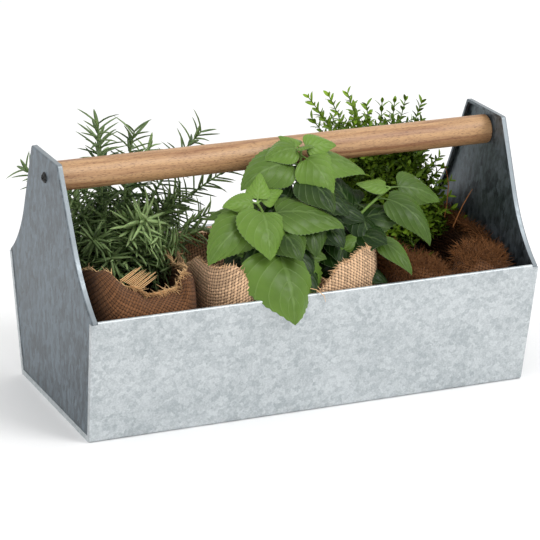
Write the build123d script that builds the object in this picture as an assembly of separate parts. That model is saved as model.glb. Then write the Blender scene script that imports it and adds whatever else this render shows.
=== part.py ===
"""Galvanised herb planter: a folded trough, two end panels, a wooden handle and three potted herbs."""
import math
import os

from build123d import *

# Planter box in mm: X runs along the row, the front faces -Y and the floor stands on Z = 0
SHEET = 0.6
BASE_LENGTH = 394.0
RIM_LENGTH = 400.0
BASE_DEPTH = 172.0
RIM_DEPTH = 208.0
RIM_HEIGHT = 109.0
FLOOR_BEND = 3.5
HEM_WIDTH = 3.6
HEM_LEG = 6.0
END_LIP = 5.0

# Gable-shaped end panels, flanged inwards all round
PANEL_OVER_HANDLE = 19.0
PANEL_TOP_WIDTH = 64.0
SHOULDER_WIDTH = 120.0
SHOULDER_DROP = 60.0
TOP_CORNER = 3.0
PANEL_FLANGE = 4.5
PANEL_RETURN = 2.4
PANEL_BEND = 1.2
SEAT_PLAY = 0.05
HEM_END_GAP = 0.4

# Wooden handle, held at each end by one screw on its axis
HANDLE_DIAMETER = 25.0
HANDLE_AXIS_HEIGHT = 201.0
HANDLE_END_ROUND = 1.5
HANDLE_END_PLAY = 0.25
SCREW_SHANK = 4.5
SCREW_LENGTH = 36.0
SCREW_POINT = 6.0
SCREW_HEAD = 9.6
SCREW_HEAD_HEIGHT = 2.6
SCREW_CROWN = 5.8
SCREW_SLOT = 1.1
SCREW_SLOT_LENGTH = 5.0
SCREW_SLOT_DEPTH = 1.3
SCREW_PLAY = 0.08

# Herb pots in burlap sacks, in a lane on each side of the handle so that they lift out past it
LANE_CLEARANCE = 2.0
REST_GAP = 0.3
POT_HEIGHT = 88.0
POT_WALL = 1.0
POT_RIM_BAND = 7.0
POT_RIM_STEP = 1.4
DRAIN_HOLE = 6.0
DRAIN_HOLES = 5
DRAIN_CIRCLE = 26.0
SOIL_BELOW_RIM = 9.0
SOIL_PLAY = 0.2
WRAP_THICKNESS = 1.5
WRAP_PLAY = 0.8
POT_ROOM = 4.5
BELLY_HEIGHT = 20.0
BELLY_GAP = 3.0
WALL_TUCK = 10.0
MOUTH_INSET = 3.0
MOUTH_LEAN = 26.0
STANDING_PLACES = (0.35, 0.7, 1.0)
WRAP_RIPPLE = 1.0
WRAP_RIPPLES = 9
WRAP_SQUARENESS = 5.0
WRAP_POINTS = 48
WRAP_GAP = 3.0
ROSEMARY_FROM_END = 68.0
THYME_FROM_END = 64.0
MINT_X = -3.0

# Where the mint's sack meets its neighbours: place along the row at the front and at the back
MINT_WRAP_LEFT = (-97.0, -69.0)
MINT_WRAP_RIGHT = (66.0, 80.0)

# Burlap edge: height over the trough's rim at the back, and along the front as place in the row and height
BACK_EDGE = 5.0
EDGE_FALL = 60.0
ROSEMARY_EDGE = [(-188, 28), (-175, 30), (-156, 16), (-143, 6), (-118, 8), (-109, 20), (-100, 20)]
MINT_EDGE = [(-97, 8), (-86, 27), (-74, 28), (-44, 0), (-4, -1), (25, 22), (40, 30), (52, 30), (66, 10)]
THYME_EDGE = [(69, 12), (79, 20), (100, 12), (131, -5), (138, 10), (146, 16), (166, 9), (188, -3)]

# Stems, needles, leaflets and leaves
GOLDEN_ANGLE = 180.0 * (3.0 - math.sqrt(5.0))
SHOOT_RISE = 0.6
SHOOT_LEAN = 0.2
SHOOT_SECTIONS = 5
BARE_FOOT = 0.17
LAST_LEAF = 0.98
TIP_CLOSING = 0.6
TIP_SHARPNESS = 6
ROSEMARY_STEM = (1.5, 0.8)
THYME_STEM = (1.1, 0.6)
MINT_STEM = (2.0, 1.3)
STEM_SIDES = 4
NEEDLE_LENGTH = 24.0
NEEDLE_WIDTH = 2.2
NEEDLE_THICKNESS = 1.0
NEEDLE_SPACING = 4.6
NEEDLE_SPREAD = 48.0
LEAFLET_LENGTH = 7.5
LEAFLET_WIDTH = 4.4
LEAFLET_BELLY = 0.55
LEAFLET_FOLD = 0.8
LEAFLET_SPACING = 8.0
LEAFLET_SPREAD = 58.0
LEAFLET_ROOT = 0.2
LEAFLET_TWIST = 25.0
LEAF_STALK = 2.4
LEAF_ROOT = 0.8
LEAF_THICKNESS = 1.4
LEAF_FOLD = 0.10
LEAF_STALK_END = 0.14
LEAF_PROFILE = [(0.3, 0.8), (0.5, 1.0), (0.78, 0.66)]

# Shoots: foot as shares of the soil's radius (along the row, away from the handle), then the tip as
# distance along the row from the pot's axis, distance from the handle's lane, and height over the rim
ROSEMARY_SHOOTS = [
    (-0.4, -0.2, -16, 30, 119),
    (0.1, -0.4, 15, 27, 110),
    (0.4, 0.0, 82, 45, 98),
    (0.2, -0.3, 100, 35, 64),
    (0.1, -0.7, 6, 22, 36),
    (-0.6, 0.5, -64, 77, 72),
    (-0.7, 0.1, -44, 36, 61),
    (0.4, -0.6, 56, 27, 56),
    (-0.2, 0.5, -1, 66, 96),
    (0.3, 0.6, 44, 70, 81),
]
THYME_SHOOTS = [
    (-0.5, 0.0, -69, 45, 118),
    (-0.4, 0.3, -45, 55, 114),
    (-0.3, -0.3, -37, 35, 121),
    (-0.1, 0.1, -14, 45, 105),
    (0.1, 0.5, 8, 60, 102),
    (0.1, -0.2, 7, 33, 109),
    (0.3, 0.3, 28, 55, 103),
    (0.4, -0.1, 33, 33, 106),
    (0.7, -0.5, 52, 15, 24),
    (0.7, -0.1, 50, 30, 56),
    (-0.6, -0.4, -53, 25, 41),
    (-0.2, -0.6, -23, 14, 51),
    (0.2, -0.6, 12, 14, 56),
    (-0.7, 0.4, -68, 60, 61),
    (0.3, 0.8, 22, 70, 61),
    (-0.3, 0.8, -28, 73, 66),
    (0.6, 0.5, 50, 60, 76),
]
MINT_SHOOTS = [
    (0.2, -0.3, 13, 20, 103),
    (-0.3, 0.1, -37, 46, 69),
    (0.5, -0.2, 92, 28, 63),
]
# Front shoots bring their leaves over the rim, so their tips are placed from the front rim instead
MINT_FRONT_SHOOTS = [
    (-0.4, 0.5, -25, 32, 33),
    (0.6, 0.6, 62, 30, 30),
]

# Leaves: shoot, place along it, heading, rise at the stalk, bend along the leaf (degrees), length, width
MINT_LEAVES = [
    (0, 1.0, 185, 15, 40, 30, 17),
    (0, 1.0, -5, 20, 30, 27, 14),
    (0, 1.0, 130, 65, 20, 20, 12),
    (0, 1.0, -80, 45, 60, 18, 12),
    (0, 0.95, -60, -10, 70, 44, 31),
    (0, 0.9, -8, 15, 60, 58, 28),
    (0, 0.88, 190, 20, 65, 60, 30),
    (0, 0.6, -95, 0, 70, 55, 34),
    (1, 1.0, 180, 20, 40, 30, 15),
    (1, 1.0, 20, 25, 30, 28, 14),
    (1, 1.0, 60, 60, 20, 26, 16),
    (1, 0.94, -100, -5, 75, 50, 37),
    (1, 0.85, 200, 5, 60, 62, 30),
    (1, 0.85, 165, 20, 40, 45, 28),
    (1, 0.85, -20, 20, 60, 66, 33),
    (2, 1.0, 175, 20, 20, 30, 14),
    (2, 1.0, -8, 5, 50, 46, 25),
    (2, 0.9, -45, 5, 85, 62, 24),
    (2, 0.55, -66, 24, 36, 50, 36),
    (2, 0.6, 170, 60, 10, 48, 30),
    (2, 0.65, -12, 30, 40, 50, 28),
    (3, 1.0, -92, -20, 60, 66, 54),
    (3, 0.9, 186, 30, 50, 38, 26),
    (3, 0.9, -15, 15, 50, 40, 24),
    (4, 1.0, -60, 5, 70, 46, 18),
    (4, 0.95, 178, 20, 50, 28, 16),
]

# Sizes that follow from the ones above
PANEL_HEIGHT = HANDLE_AXIS_HEIGHT + PANEL_OVER_HANDLE
SHOULDER_HEIGHT = PANEL_HEIGHT - SHOULDER_DROP
END_LEAN = (RIM_LENGTH - BASE_LENGTH) / 2 / RIM_HEIGHT
WALL_SPLAY = (RIM_DEPTH - BASE_DEPTH) / 2 / RIM_HEIGHT
WALL_SLANT = math.hypot(1.0, WALL_SPLAY)
HEM_RADIUS = HEM_WIDTH / 2
LANE_EDGE = HANDLE_DIAMETER / 2 + LANE_CLEARANCE
LANE_WALL = RIM_DEPTH / 2 - HEM_WIDTH - LANE_CLEARANCE / 2
LANE_CENTRE = (LANE_EDGE + LANE_WALL) / 2
WRAP_HALF_DEPTH = LANE_WALL - WRAP_RIPPLE
POT_RIM_RADIUS = WRAP_HALF_DEPTH - LANE_CENTRE - WRAP_THICKNESS - POT_ROOM
POT_BASE_RADIUS = BASE_DEPTH / 2 - SHEET - FLOOR_BEND - LANE_CENTRE - WRAP_THICKNESS - WRAP_PLAY
WRAP_FOOT = SHEET + SEAT_PLAY
POT_FOOT = WRAP_FOOT + WRAP_THICKNESS + REST_GAP
POT_TOP = POT_FOOT + POT_HEIGHT
SOIL_TOP = POT_TOP - SOIL_BELOW_RIM
PANEL_REACH = BASE_LENGTH / 2 - SHEET - PANEL_FLANGE
ROSEMARY_X = ROSEMARY_FROM_END - PANEL_REACH
THYME_X = PANEL_REACH - THYME_FROM_END


def half_length(z):
    """Half the length over the leaning ends at height z."""
    return BASE_LENGTH / 2 + END_LEAN * z


def half_depth(z):
    """Half the depth over the splayed walls at height z."""
    return BASE_DEPTH / 2 + WALL_SPLAY * z


def between_ends(inset):
    """Everything between the two leaning end planes, each moved in by the inset."""
    low = half_length(0) - inset
    high = half_length(PANEL_HEIGHT) - inset
    outline = Polygon((-low, 0), (low, 0), (high, PANEL_HEIGHT), (-high, PANEL_HEIGHT), align=None)
    return extrude(Plane.XZ * outline, RIM_DEPTH, both=True)


def rolled_rim(side):
    """The top of a wall rolled inwards over half a turn and left as a short leg, on the side -1 or 1."""
    up = Vector(side * WALL_SPLAY, 1) / WALL_SLANT
    inward = Vector(-side, WALL_SPLAY) / WALL_SLANT
    start = Vector(side * half_depth(RIM_HEIGHT), RIM_HEIGHT) - up * HEM_RADIUS
    turn = start + inward * HEM_WIDTH
    crown = start + (inward + up) * HEM_RADIUS
    line = ThreePointArc(start, crown, turn) + Line(turn, turn - up * HEM_LEG)
    rim = make_face(offset(line, SHEET, side=Side.LEFT if side > 0 else Side.RIGHT))
    reach = half_length(RIM_HEIGHT) - SHEET - PANEL_FLANGE - HEM_END_GAP
    return extrude(Plane.YZ * rim, reach, both=True)


def trough():
    """Front, floor and back in one folded sheet, with rolled rims and lips folded round the ends."""
    wall_top = RIM_HEIGHT - HEM_RADIUS / WALL_SLANT
    top = half_depth(wall_top)
    corners = [(-top, wall_top), (-half_depth(0), 0), (half_depth(0), 0), (top, wall_top)]
    outer = FilletPolyline(*corners, radius=FLOOR_BEND)
    sheet = make_face(offset(outer, SHEET, side=Side.LEFT))
    section = make_face(outer + Line(corners[-1], corners[0]))
    low = half_depth(END_LIP) - END_LIP
    high = half_depth(RIM_HEIGHT) - END_LIP
    window = Polygon((-low, END_LIP), (low, END_LIP), (high, RIM_HEIGHT), (-high, RIM_HEIGHT), align=None)
    folded = extrude(Plane.YZ * sheet, RIM_LENGTH, both=True) & between_ends(0)
    lips = extrude(Plane.YZ * (section - window), RIM_LENGTH, both=True)
    lips &= between_ends(0) - between_ends(SHEET)
    return folded + lips + rolled_rim(-1) + rolled_rim(1)


def panel_outline():
    """Gable: it fits inside the trough, sweeps in from the rim along an arc and rises to a narrow top."""
    inset = SHEET * WALL_SLANT + SEAT_PLAY
    low = Vector(half_depth(SHEET) - inset, SHEET + SEAT_PLAY)
    rim = Vector(half_depth(RIM_HEIGHT) - inset, RIM_HEIGHT)
    shoulder = Vector(SHOULDER_WIDTH / 2, SHOULDER_HEIGHT)
    top = Vector(PANEL_TOP_WIDTH / 2, PANEL_HEIGHT)
    side = Line(low, rim) + TangentArc(shoulder, rim, tangent=shoulder - top) + Line(shoulder, top)
    ends = Line((-low.X, low.Y), low) + Line((-top.X, top.Y), top)
    face = make_face(side + mirror(side, Plane.YZ) + ends)
    face = fillet(face.vertices().group_by(Axis.Y)[-1], TOP_CORNER)
    return fillet(face.vertices().group_by(Axis.Y)[0], FLOOR_BEND)


def end_panel():
    """Right end: a shallow pan of sheet, its flange turned in again at the edge, bored for the screw."""
    outline = panel_outline()
    pan = extrude(outline, -PANEL_FLANGE)
    pan = fillet(pan.faces().sort_by(Axis.Z)[-1].edges(), PANEL_BEND)
    pan = offset(pan, -SHEET, openings=pan.faces().sort_by(Axis.Z)[0])
    edge = outline - offset(outline, -PANEL_RETURN, kind=Kind.INTERSECTION)
    pan += Pos(0, 0, -PANEL_FLANGE) * extrude(edge, SHEET)
    end = Plane((half_length(0) - SHEET, 0, 0), x_dir=(0, 1, 0), z_dir=(1, 0, -END_LEAN))
    hole = Rot(0, 90, 0) * Cylinder(SCREW_SHANK / 2 + SCREW_PLAY, SCREW_LENGTH)
    return end * pan - Pos(half_length(HANDLE_AXIS_HEIGHT), 0, HANDLE_AXIS_HEIGHT) * hole


def screw_seat():
    """Where the screw head's flat meets the leaning panel, at the head's upper edge."""
    return half_length(HANDLE_AXIS_HEIGHT + SCREW_HEAD / 2) - SHEET + SEAT_PLAY


def handle_dowel():
    """Plain round bar with eased ends, bored at each end for its screw."""
    half = half_length(HANDLE_AXIS_HEIGHT - HANDLE_DIAMETER / 2) - 2 * SHEET - HANDLE_END_PLAY
    bar = fillet(Cylinder(HANDLE_DIAMETER / 2, 2 * half).edges(), HANDLE_END_ROUND)
    depth = SCREW_LENGTH - (screw_seat() - half) + SCREW_PLAY
    bore = Cylinder(SCREW_SHANK / 2 + SCREW_PLAY, 2 * depth)
    bar -= [Pos(0, 0, half) * bore, Pos(0, 0, -half) * bore]
    return Pos(0, 0, HANDLE_AXIS_HEIGHT) * Rot(0, 90, 0) * bar


def handle_screws():
    """One domed, cross-slotted screw in each end of the handle."""
    shank = SCREW_SHANK / 2
    edge = (0, SCREW_HEAD / 2)
    top = (SCREW_HEAD_HEIGHT, 0)
    outline = Polyline(top, (-SCREW_LENGTH, 0), (SCREW_POINT - SCREW_LENGTH, shank), (0, shank), edge)
    crown = RadiusArc(edge, top, SCREW_CROWN)
    screw = revolve(make_face(outline + crown), Axis.X)
    slot = Box(2 * SCREW_SLOT_DEPTH, SCREW_SLOT, SCREW_SLOT_LENGTH)
    screw -= Pos(SCREW_HEAD_HEIGHT, 0, 0) * (slot + Rot(90, 0, 0) * slot)
    right = Pos(screw_seat(), 0, HANDLE_AXIS_HEIGHT) * screw
    return right + mirror(right, Plane.YZ)


def pot():
    """Thin tapered nursery pot with a stepped rim band and drain holes, standing on Z = POT_FOOT."""
    band = POT_HEIGHT - POT_RIM_BAND
    rim = POT_RIM_RADIUS
    neck = rim - POT_RIM_STEP
    step = band + POT_WALL
    outside = [(0, 0), (POT_BASE_RADIUS, 0), (neck, band), (rim, band), (rim, POT_HEIGHT)]
    inside = [(rim - POT_WALL, POT_HEIGHT), (rim - POT_WALL, step), (neck - POT_WALL, step)]
    inside += [(POT_BASE_RADIUS - POT_WALL, POT_WALL), (0, POT_WALL)]
    shell = revolve(Plane.XZ * Polygon(*outside, *inside, align=None), Axis.Z)
    shell -= PolarLocations(DRAIN_CIRCLE / 2, DRAIN_HOLES) * Cylinder(DRAIN_HOLE / 2, 4 * POT_WALL)
    return Pos(0, 0, POT_FOOT) * shell


def soil():
    """Soil that fills the pot to a little below its rim."""
    inner_foot = POT_BASE_RADIUS - POT_WALL - SOIL_PLAY
    slope = (POT_RIM_RADIUS - POT_RIM_STEP - POT_BASE_RADIUS) / (POT_HEIGHT - POT_RIM_BAND)
    foot = POT_FOOT + POT_WALL + SEAT_PLAY
    height = SOIL_TOP - foot
    fill = Cone(inner_foot, inner_foot + slope * height, height)
    return Pos(0, 0, foot + height / 2) * fill


def polyhedron(loops):
    """Closed solid from its flat faces, each given by its corner points."""
    return Solid(Shell([Face(Wire.make_polygon(loop)) for loop in loops]))


def skin(lower, upper):
    """Triangles between two rings of as many points."""
    loops = []
    for a, b, c, d in zip(lower, lower[1:] + lower[:1], upper[1:] + upper[:1], upper):
        loops += [[a, b, c], [a, c, d]]
    return loops


def tapered(rings, tip=None):
    """Solid through flat rings of points, closed by a flat end or drawn to a tip."""
    loops = [rings[0]]
    for lower, upper in zip(rings, rings[1:]):
        loops += skin(lower, upper)
    if tip is None:
        return polyhedron(loops + [rings[-1]])
    last = rings[-1]
    return polyhedron(loops + [[a, b, tip] for a, b in zip(last, last[1:] + last[:1])])


def eased(start, end, share):
    """Smooth change from start to end as the share goes from 0 to 1, and level outside."""
    share = min(max(share, 0), 1)
    return start + (end - start) * share * share * (3 - 2 * share)


def edge_height(place, edge):
    """Height of the burlap's edge: along the front it passes through the edge's points, and it falls to one
    level towards the back."""
    front = edge[0][1]
    for (x, _), (next_x, next_height) in zip(edge, edge[1:]):
        front = eased(front, next_height, (place.X - x) / (next_x - x))
    return RIM_HEIGHT + eased(front, BACK_EDGE, (place.Y + EDGE_FALL) / EDGE_FALL)


def wrap_rings(pot_x, side, left, right, edge):
    """The burlap's outer side as rings from under the pot, out to the trough's walls and up to the mouth."""
    cover = WRAP_PLAY + WRAP_THICKNESS
    belly_depth = half_depth(BELLY_HEIGHT) - SHEET - BELLY_GAP
    wall_height = RIM_HEIGHT - WALL_TUCK
    pot_side = LANE_CENTRE + POT_RIM_RADIUS + cover
    free_side = WRAP_HALF_DEPTH - MOUTH_LEAN
    mouth_middle = side * (pot_side - free_side) / 2
    mouth_depth = (pot_side + free_side) / 2
    rings = [[] for _ in range(3 + len(STANDING_PLACES))]

    def plan(square, middle, depth, inset):
        """Place in the sack's share of the trough, whose sides slant from front to back."""
        y = middle + depth * square.Y
        back = (1 + y / WRAP_HALF_DEPTH) / 2
        start = left[0] + (left[1] - left[0]) * back + inset
        end = right[0] + (right[1] - right[0]) * back - inset
        return Vector(start + (end - start) * (1 + square.X) / 2, y)

    for i in range(WRAP_POINTS):
        turn = 2 * math.pi * i / WRAP_POINTS
        out = Vector(math.cos(turn), math.sin(turn))
        power = abs(out.X) ** WRAP_SQUARENESS + abs(out.Y) ** WRAP_SQUARENESS
        square = out / power ** (1 / WRAP_SQUARENESS)
        wave = WRAP_RIPPLE * math.cos(WRAP_RIPPLES * turn)
        foot = Vector(pot_x, side * LANE_CENTRE) + out * (POT_BASE_RADIUS + cover)
        wall = plan(square, 0, WRAP_HALF_DEPTH + wave, -wave)
        mouth = plan(square, mouth_middle, mouth_depth, MOUTH_INSET)
        climb = edge_height(mouth, edge) - wall_height
        rings[0].append(foot + Vector(0, 0, WRAP_FOOT))
        rings[1].append(plan(square, 0, belly_depth, 0) + Vector(0, 0, BELLY_HEIGHT))
        rings[2].append(wall + Vector(0, 0, wall_height))
        for ring, share in zip(rings[3:], STANDING_PLACES):
            rise = climb * (1 - (1 - share) ** 2)
            ring.append(wall + (mouth - wall) * share ** 2 + Vector(0, 0, wall_height + rise))
    return rings


def wrap(*shape):
    """Burlap square drawn up round one pot as an open sack: it fills its share of the trough, stands up over
    the rim and leans in to an uneven edge."""
    outer = wrap_rings(*shape)
    inner = [[] for _ in outer]
    for level in range(len(outer)):
        below = outer[max(level - 1, 0)]
        above = outer[min(level + 1, len(outer) - 1)]
        for i in range(WRAP_POINTS):
            ahead = outer[level][(i + 1) % WRAP_POINTS] - outer[level][i - 1]
            normal = ahead.cross(above[i] - below[i]).normalized()
            inner[level].append(outer[level][i] - normal * WRAP_THICKNESS)
    foot = sum(outer[0], Vector()) / WRAP_POINTS
    shrink = 1 - WRAP_THICKNESS / (POT_BASE_RADIUS + WRAP_PLAY + WRAP_THICKNESS)
    inner[0] = [foot + (point - foot) * shrink + Vector(0, 0, WRAP_THICKNESS) for point in outer[0]]
    loops = [outer[0], inner[0]] + skin(outer[-1], inner[-1])
    for rings in (outer, inner):
        for lower, upper in zip(rings, rings[1:]):
            loops += skin(lower, upper)
    return polyhedron(loops)


class Shoot:
    """A stem that leaves the soil upright and bends over to its tip."""

    def __init__(self, foot, tip):
        reach = tip - foot
        self.foot = foot
        self.tip = tip
        self.bend = foot + Vector(SHOOT_LEAN * reach.X, SHOOT_LEAN * reach.Y, SHOOT_RISE * reach.Z)
        self.across = reach.cross(Vector(0, 0, 1)).normalized()
        self.length = reach.length

    def curve(self, t):
        return self.foot * (1 - t) ** 2 + self.bend * (2 * t * (1 - t)) + self.tip * t ** 2

    def point(self, t):
        """Place on the stem, which runs straight from section to section."""
        stretch = 1 / (SHOOT_SECTIONS - 1)
        start = min(math.floor(t / stretch), SHOOT_SECTIONS - 2) * stretch
        share = (t - start) / stretch
        return self.curve(start) * (1 - share) + self.curve(start + stretch) * share

    def frame(self, t):
        """Direction of growth and two directions across it."""
        along = ((self.bend - self.foot) * (1 - t) + (self.tip - self.bend) * t).normalized()
        return along, self.across, along.cross(self.across)

    def stem(self, foot_radius, tip_radius):
        rings = []
        for i in range(SHOOT_SECTIONS):
            t = i / (SHOOT_SECTIONS - 1)
            radius = foot_radius + (tip_radius - foot_radius) * t
            across, other = self.frame(t)[1:]
            if i == 0:
                other = Vector(0, 0, 1).cross(across)
            turns = [math.tau * k / STEM_SIDES for k in range(STEM_SIDES)]
            spokes = [across * math.cos(a) + other * math.sin(a) for a in turns]
            rings.append([self.point(t) + spoke * radius for spoke in spokes])
        return tapered(rings)


def shoots(side, pot_x, rows):
    """Shoots of a plant in the lane on one side of the handle, with tips placed from the handle."""
    return [place_shoot(side, pot_x, row, LANE_EDGE + row[3]) for row in rows]


def place_shoot(side, pot_x, row, tip_y):
    along, away, reach, _, height = row
    radius = POT_BASE_RADIUS
    foot = Vector(pot_x + along * radius, side * (LANE_CENTRE + away * radius), SOIL_TOP)
    return Shoot(foot, Vector(pot_x + reach, side * tip_y, RIM_HEIGHT + height))


def leaf_places(shoot, spacing):
    """Places along a shoot from its bare foot to its tip, each with how far its leaves spread there."""
    count = int((LAST_LEAF - BARE_FOOT) * shoot.length / spacing)
    places = [BARE_FOOT + (LAST_LEAF - BARE_FOOT) * i / (count - 1) for i in range(count)]
    return [(t, 1 - TIP_CLOSING * t ** TIP_SHARPNESS) for t in places]


def leaf_directions(shoot, t, turn, spread):
    """Ways out of the stem, along a leaf and across it, for a leaf turned round and spread from the stem."""
    along, across, other = shoot.frame(t)
    out = across * math.cos(turn) + other * math.sin(turn)
    heading = along * math.cos(spread) + out * math.sin(spread)
    return out, heading, heading.cross(along).normalized()


def rosemary_plant():
    """Woody shoots set all round with narrow needles that point up the stem."""
    grown = []
    for shoot in shoots(1, ROSEMARY_X, ROSEMARY_SHOOTS):
        pieces = [shoot.stem(*ROSEMARY_STEM)]
        for i, (t, spread) in enumerate(leaf_places(shoot, NEEDLE_SPACING)):
            turn = math.radians(GOLDEN_ANGLE * i)
            heading, across = leaf_directions(shoot, t, turn, math.radians(NEEDLE_SPREAD * spread))[1:]
            edge = across * (NEEDLE_WIDTH / 2)
            root = shoot.point(t)
            keel = root - heading.cross(across) * NEEDLE_THICKNESS
            pieces.append(tapered([[root + edge, root - edge, keel]], root + heading * NEEDLE_LENGTH))
        grown.append(pieces[0].fuse(*pieces[1:]))
    return grown[0].fuse(*grown[1:])


def thyme_plant():
    """Thin shoots with crossed pairs of small folded leaves."""
    grown = []
    for shoot in shoots(1, THYME_X, THYME_SHOOTS):
        pieces = [shoot.stem(*THYME_STEM)]
        for i, (t, spread) in enumerate(leaf_places(shoot, LEAFLET_SPACING)):
            for face in (0, 180):
                turn = math.radians(face + 90 * (i % 2) + LEAFLET_TWIST)
                out, heading, across = leaf_directions(shoot, t, turn, math.radians(LEAFLET_SPREAD * spread))
                edge = across * (LEAFLET_WIDTH / 2)
                root = shoot.point(t) + out * LEAFLET_ROOT
                belly = root + heading * (LEAFLET_LENGTH * LEAFLET_BELLY)
                belly += heading.cross(across) * LEAFLET_FOLD
                pieces.append(tapered([[root, belly + edge, belly - edge]], root + heading * LEAFLET_LENGTH))
        grown.append(pieces[0].fuse(*pieces[1:]))
    return grown[0].fuse(*grown[1:])


def mint_leaf(root, heading, rise, bend, length, width):
    """Leaf on its stalk: a folded diamond section that opens into the blade and bends down along an arc."""
    turn = math.radians(heading)
    start = math.radians(rise)
    total = math.radians(bend)
    edge = Vector(-math.sin(turn), math.cos(turn), 0)

    def section(share, wide):
        slope = start - total * share
        run = length / total * (math.sin(start) - math.sin(slope))
        climb = length / total * (math.cos(slope) - math.cos(start))
        middle = root + Vector(run * math.cos(turn), run * math.sin(turn), climb)
        normal = Vector(-math.sin(slope) * math.cos(turn), -math.sin(slope) * math.sin(turn), math.cos(slope))
        raised = middle + normal * (LEAF_FOLD * wide)
        half = normal * (LEAF_THICKNESS / 2)
        return [raised + edge * (wide / 2), middle + half, raised - edge * (wide / 2), middle - half]

    stalk = [section(0.0, LEAF_STALK), section(LEAF_STALK_END, LEAF_STALK)]
    blade = [section(share, wide * width) for share, wide in LEAF_PROFILE]
    return tapered(stalk + blade, section(1.0, 0.0)[0])


def mint_plant():
    """Square-stemmed shoots with pairs of broad leaves, one hanging over the trough's front rim."""
    stems = shoots(-1, MINT_X, MINT_SHOOTS)
    stems += [place_shoot(-1, MINT_X, row, RIM_DEPTH / 2 - row[3]) for row in MINT_FRONT_SHOOTS]
    grown = []
    for number, shoot in enumerate(stems):
        branch = shoot.stem(*MINT_STEM)
        for index, place, *shape in MINT_LEAVES:
            if index == number:
                root = shoot.point(place) - shoot.frame(place)[0] * LEAF_ROOT
                branch = branch.fuse(mint_leaf(root, *shape))
        grown.append(branch)
    return grown[0].fuse(*grown[1:])


def nodes():
    """Every piece by name, in place."""
    panel = end_panel()
    pieces = {
        "trough": trough(),
        "left_end_panel": mirror(panel, Plane.YZ),
        "right_end_panel": panel,
        "handle_dowel": handle_dowel(),
        "handle_screws": handle_screws(),
    }
    wrap_end = PANEL_REACH - WRAP_GAP
    rosemary_right = [place - WRAP_GAP for place in MINT_WRAP_LEFT]
    thyme_left = [place + WRAP_GAP for place in MINT_WRAP_RIGHT]
    herbs = [
        ("rosemary", ROSEMARY_X, 1, [-wrap_end] * 2, rosemary_right, ROSEMARY_EDGE, rosemary_plant()),
        ("mint", MINT_X, -1, MINT_WRAP_LEFT, MINT_WRAP_RIGHT, MINT_EDGE, mint_plant()),
        ("thyme", THYME_X, 1, thyme_left, [wrap_end] * 2, THYME_EDGE, thyme_plant()),
    ]
    for name, x, side, left, right, edge, plant in herbs:
        place = Pos(x, side * LANE_CENTRE, 0)
        pieces[name + "_pot"] = place * pot()
        pieces[name + "_soil"] = place * soil()
        pieces[name + "_wrap"] = wrap(x, side, left, right, edge)
        pieces[name + "_plant"] = plant
    return pieces


if __name__ == "__main__":
    os.makedirs("parts", exist_ok=True)
    for node, piece in nodes().items():
        export_step(piece, f"parts/{node}.step")
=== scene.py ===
"""Looks of a galvanised herb planter: zinc sheet, oiled handle, potted herbs and frayed burlap."""
import math
import random

import bpy
from bpy.props import FloatProperty, FloatVectorProperty, PointerProperty
from mathutils import Matrix, Vector, noise


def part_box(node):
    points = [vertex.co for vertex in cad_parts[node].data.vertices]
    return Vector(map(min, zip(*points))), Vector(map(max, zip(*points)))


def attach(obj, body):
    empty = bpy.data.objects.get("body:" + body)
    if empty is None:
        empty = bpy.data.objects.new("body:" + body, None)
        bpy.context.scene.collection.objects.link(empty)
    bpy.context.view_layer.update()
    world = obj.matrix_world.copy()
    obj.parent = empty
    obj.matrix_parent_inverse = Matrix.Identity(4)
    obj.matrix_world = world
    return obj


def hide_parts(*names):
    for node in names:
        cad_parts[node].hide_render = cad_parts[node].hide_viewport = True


bl_info = {
    "name": "Herb planter",
    "version": (1, 0, 0),
    "blender": (4, 5, 0),
    "location": "3D View > Sidebar > Planter",
    "description": "Dresses a galvanised planter box with its handle, burlap sacks and potted herbs",
    "category": "Object",
}

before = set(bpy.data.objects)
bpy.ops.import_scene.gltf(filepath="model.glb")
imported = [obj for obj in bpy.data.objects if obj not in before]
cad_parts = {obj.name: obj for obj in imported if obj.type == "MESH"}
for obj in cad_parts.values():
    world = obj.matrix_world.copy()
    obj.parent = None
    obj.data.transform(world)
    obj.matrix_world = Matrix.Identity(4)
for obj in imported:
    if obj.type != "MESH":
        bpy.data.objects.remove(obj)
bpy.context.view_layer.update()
MM = 0.001

HERBS = ("rosemary", "mint", "thyme")
BLACK = (0, 0, 0, 1)
WHITE = (1, 1, 1, 1)

# What the plants and sacks are placed from, in metres: the height of the trough's rim, its front edge, and
# the edge of the lanes on both sides of the handle
RIM_HEIGHT = 0.109
FRONT_RIM = 0.104
LANE_CLEARANCE = 2 * MM
LANE_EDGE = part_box("handle_dowel")[1].y + LANE_CLEARANCE

# Lean of the streaks on the end panels against the upright, in radians
STREAK_LEAN = 0.2
# Share of the wood's colour that its open pores take over
PORE_COVER = (0.7, 0.7, 0.7, 1)

# Radius of a pot's foot in mm, and the turn that spreads low shoots evenly over it
FOOT_RADIUS = 21.65
GOLDEN_ANGLE = math.pi * (3 - math.sqrt(5))
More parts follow.
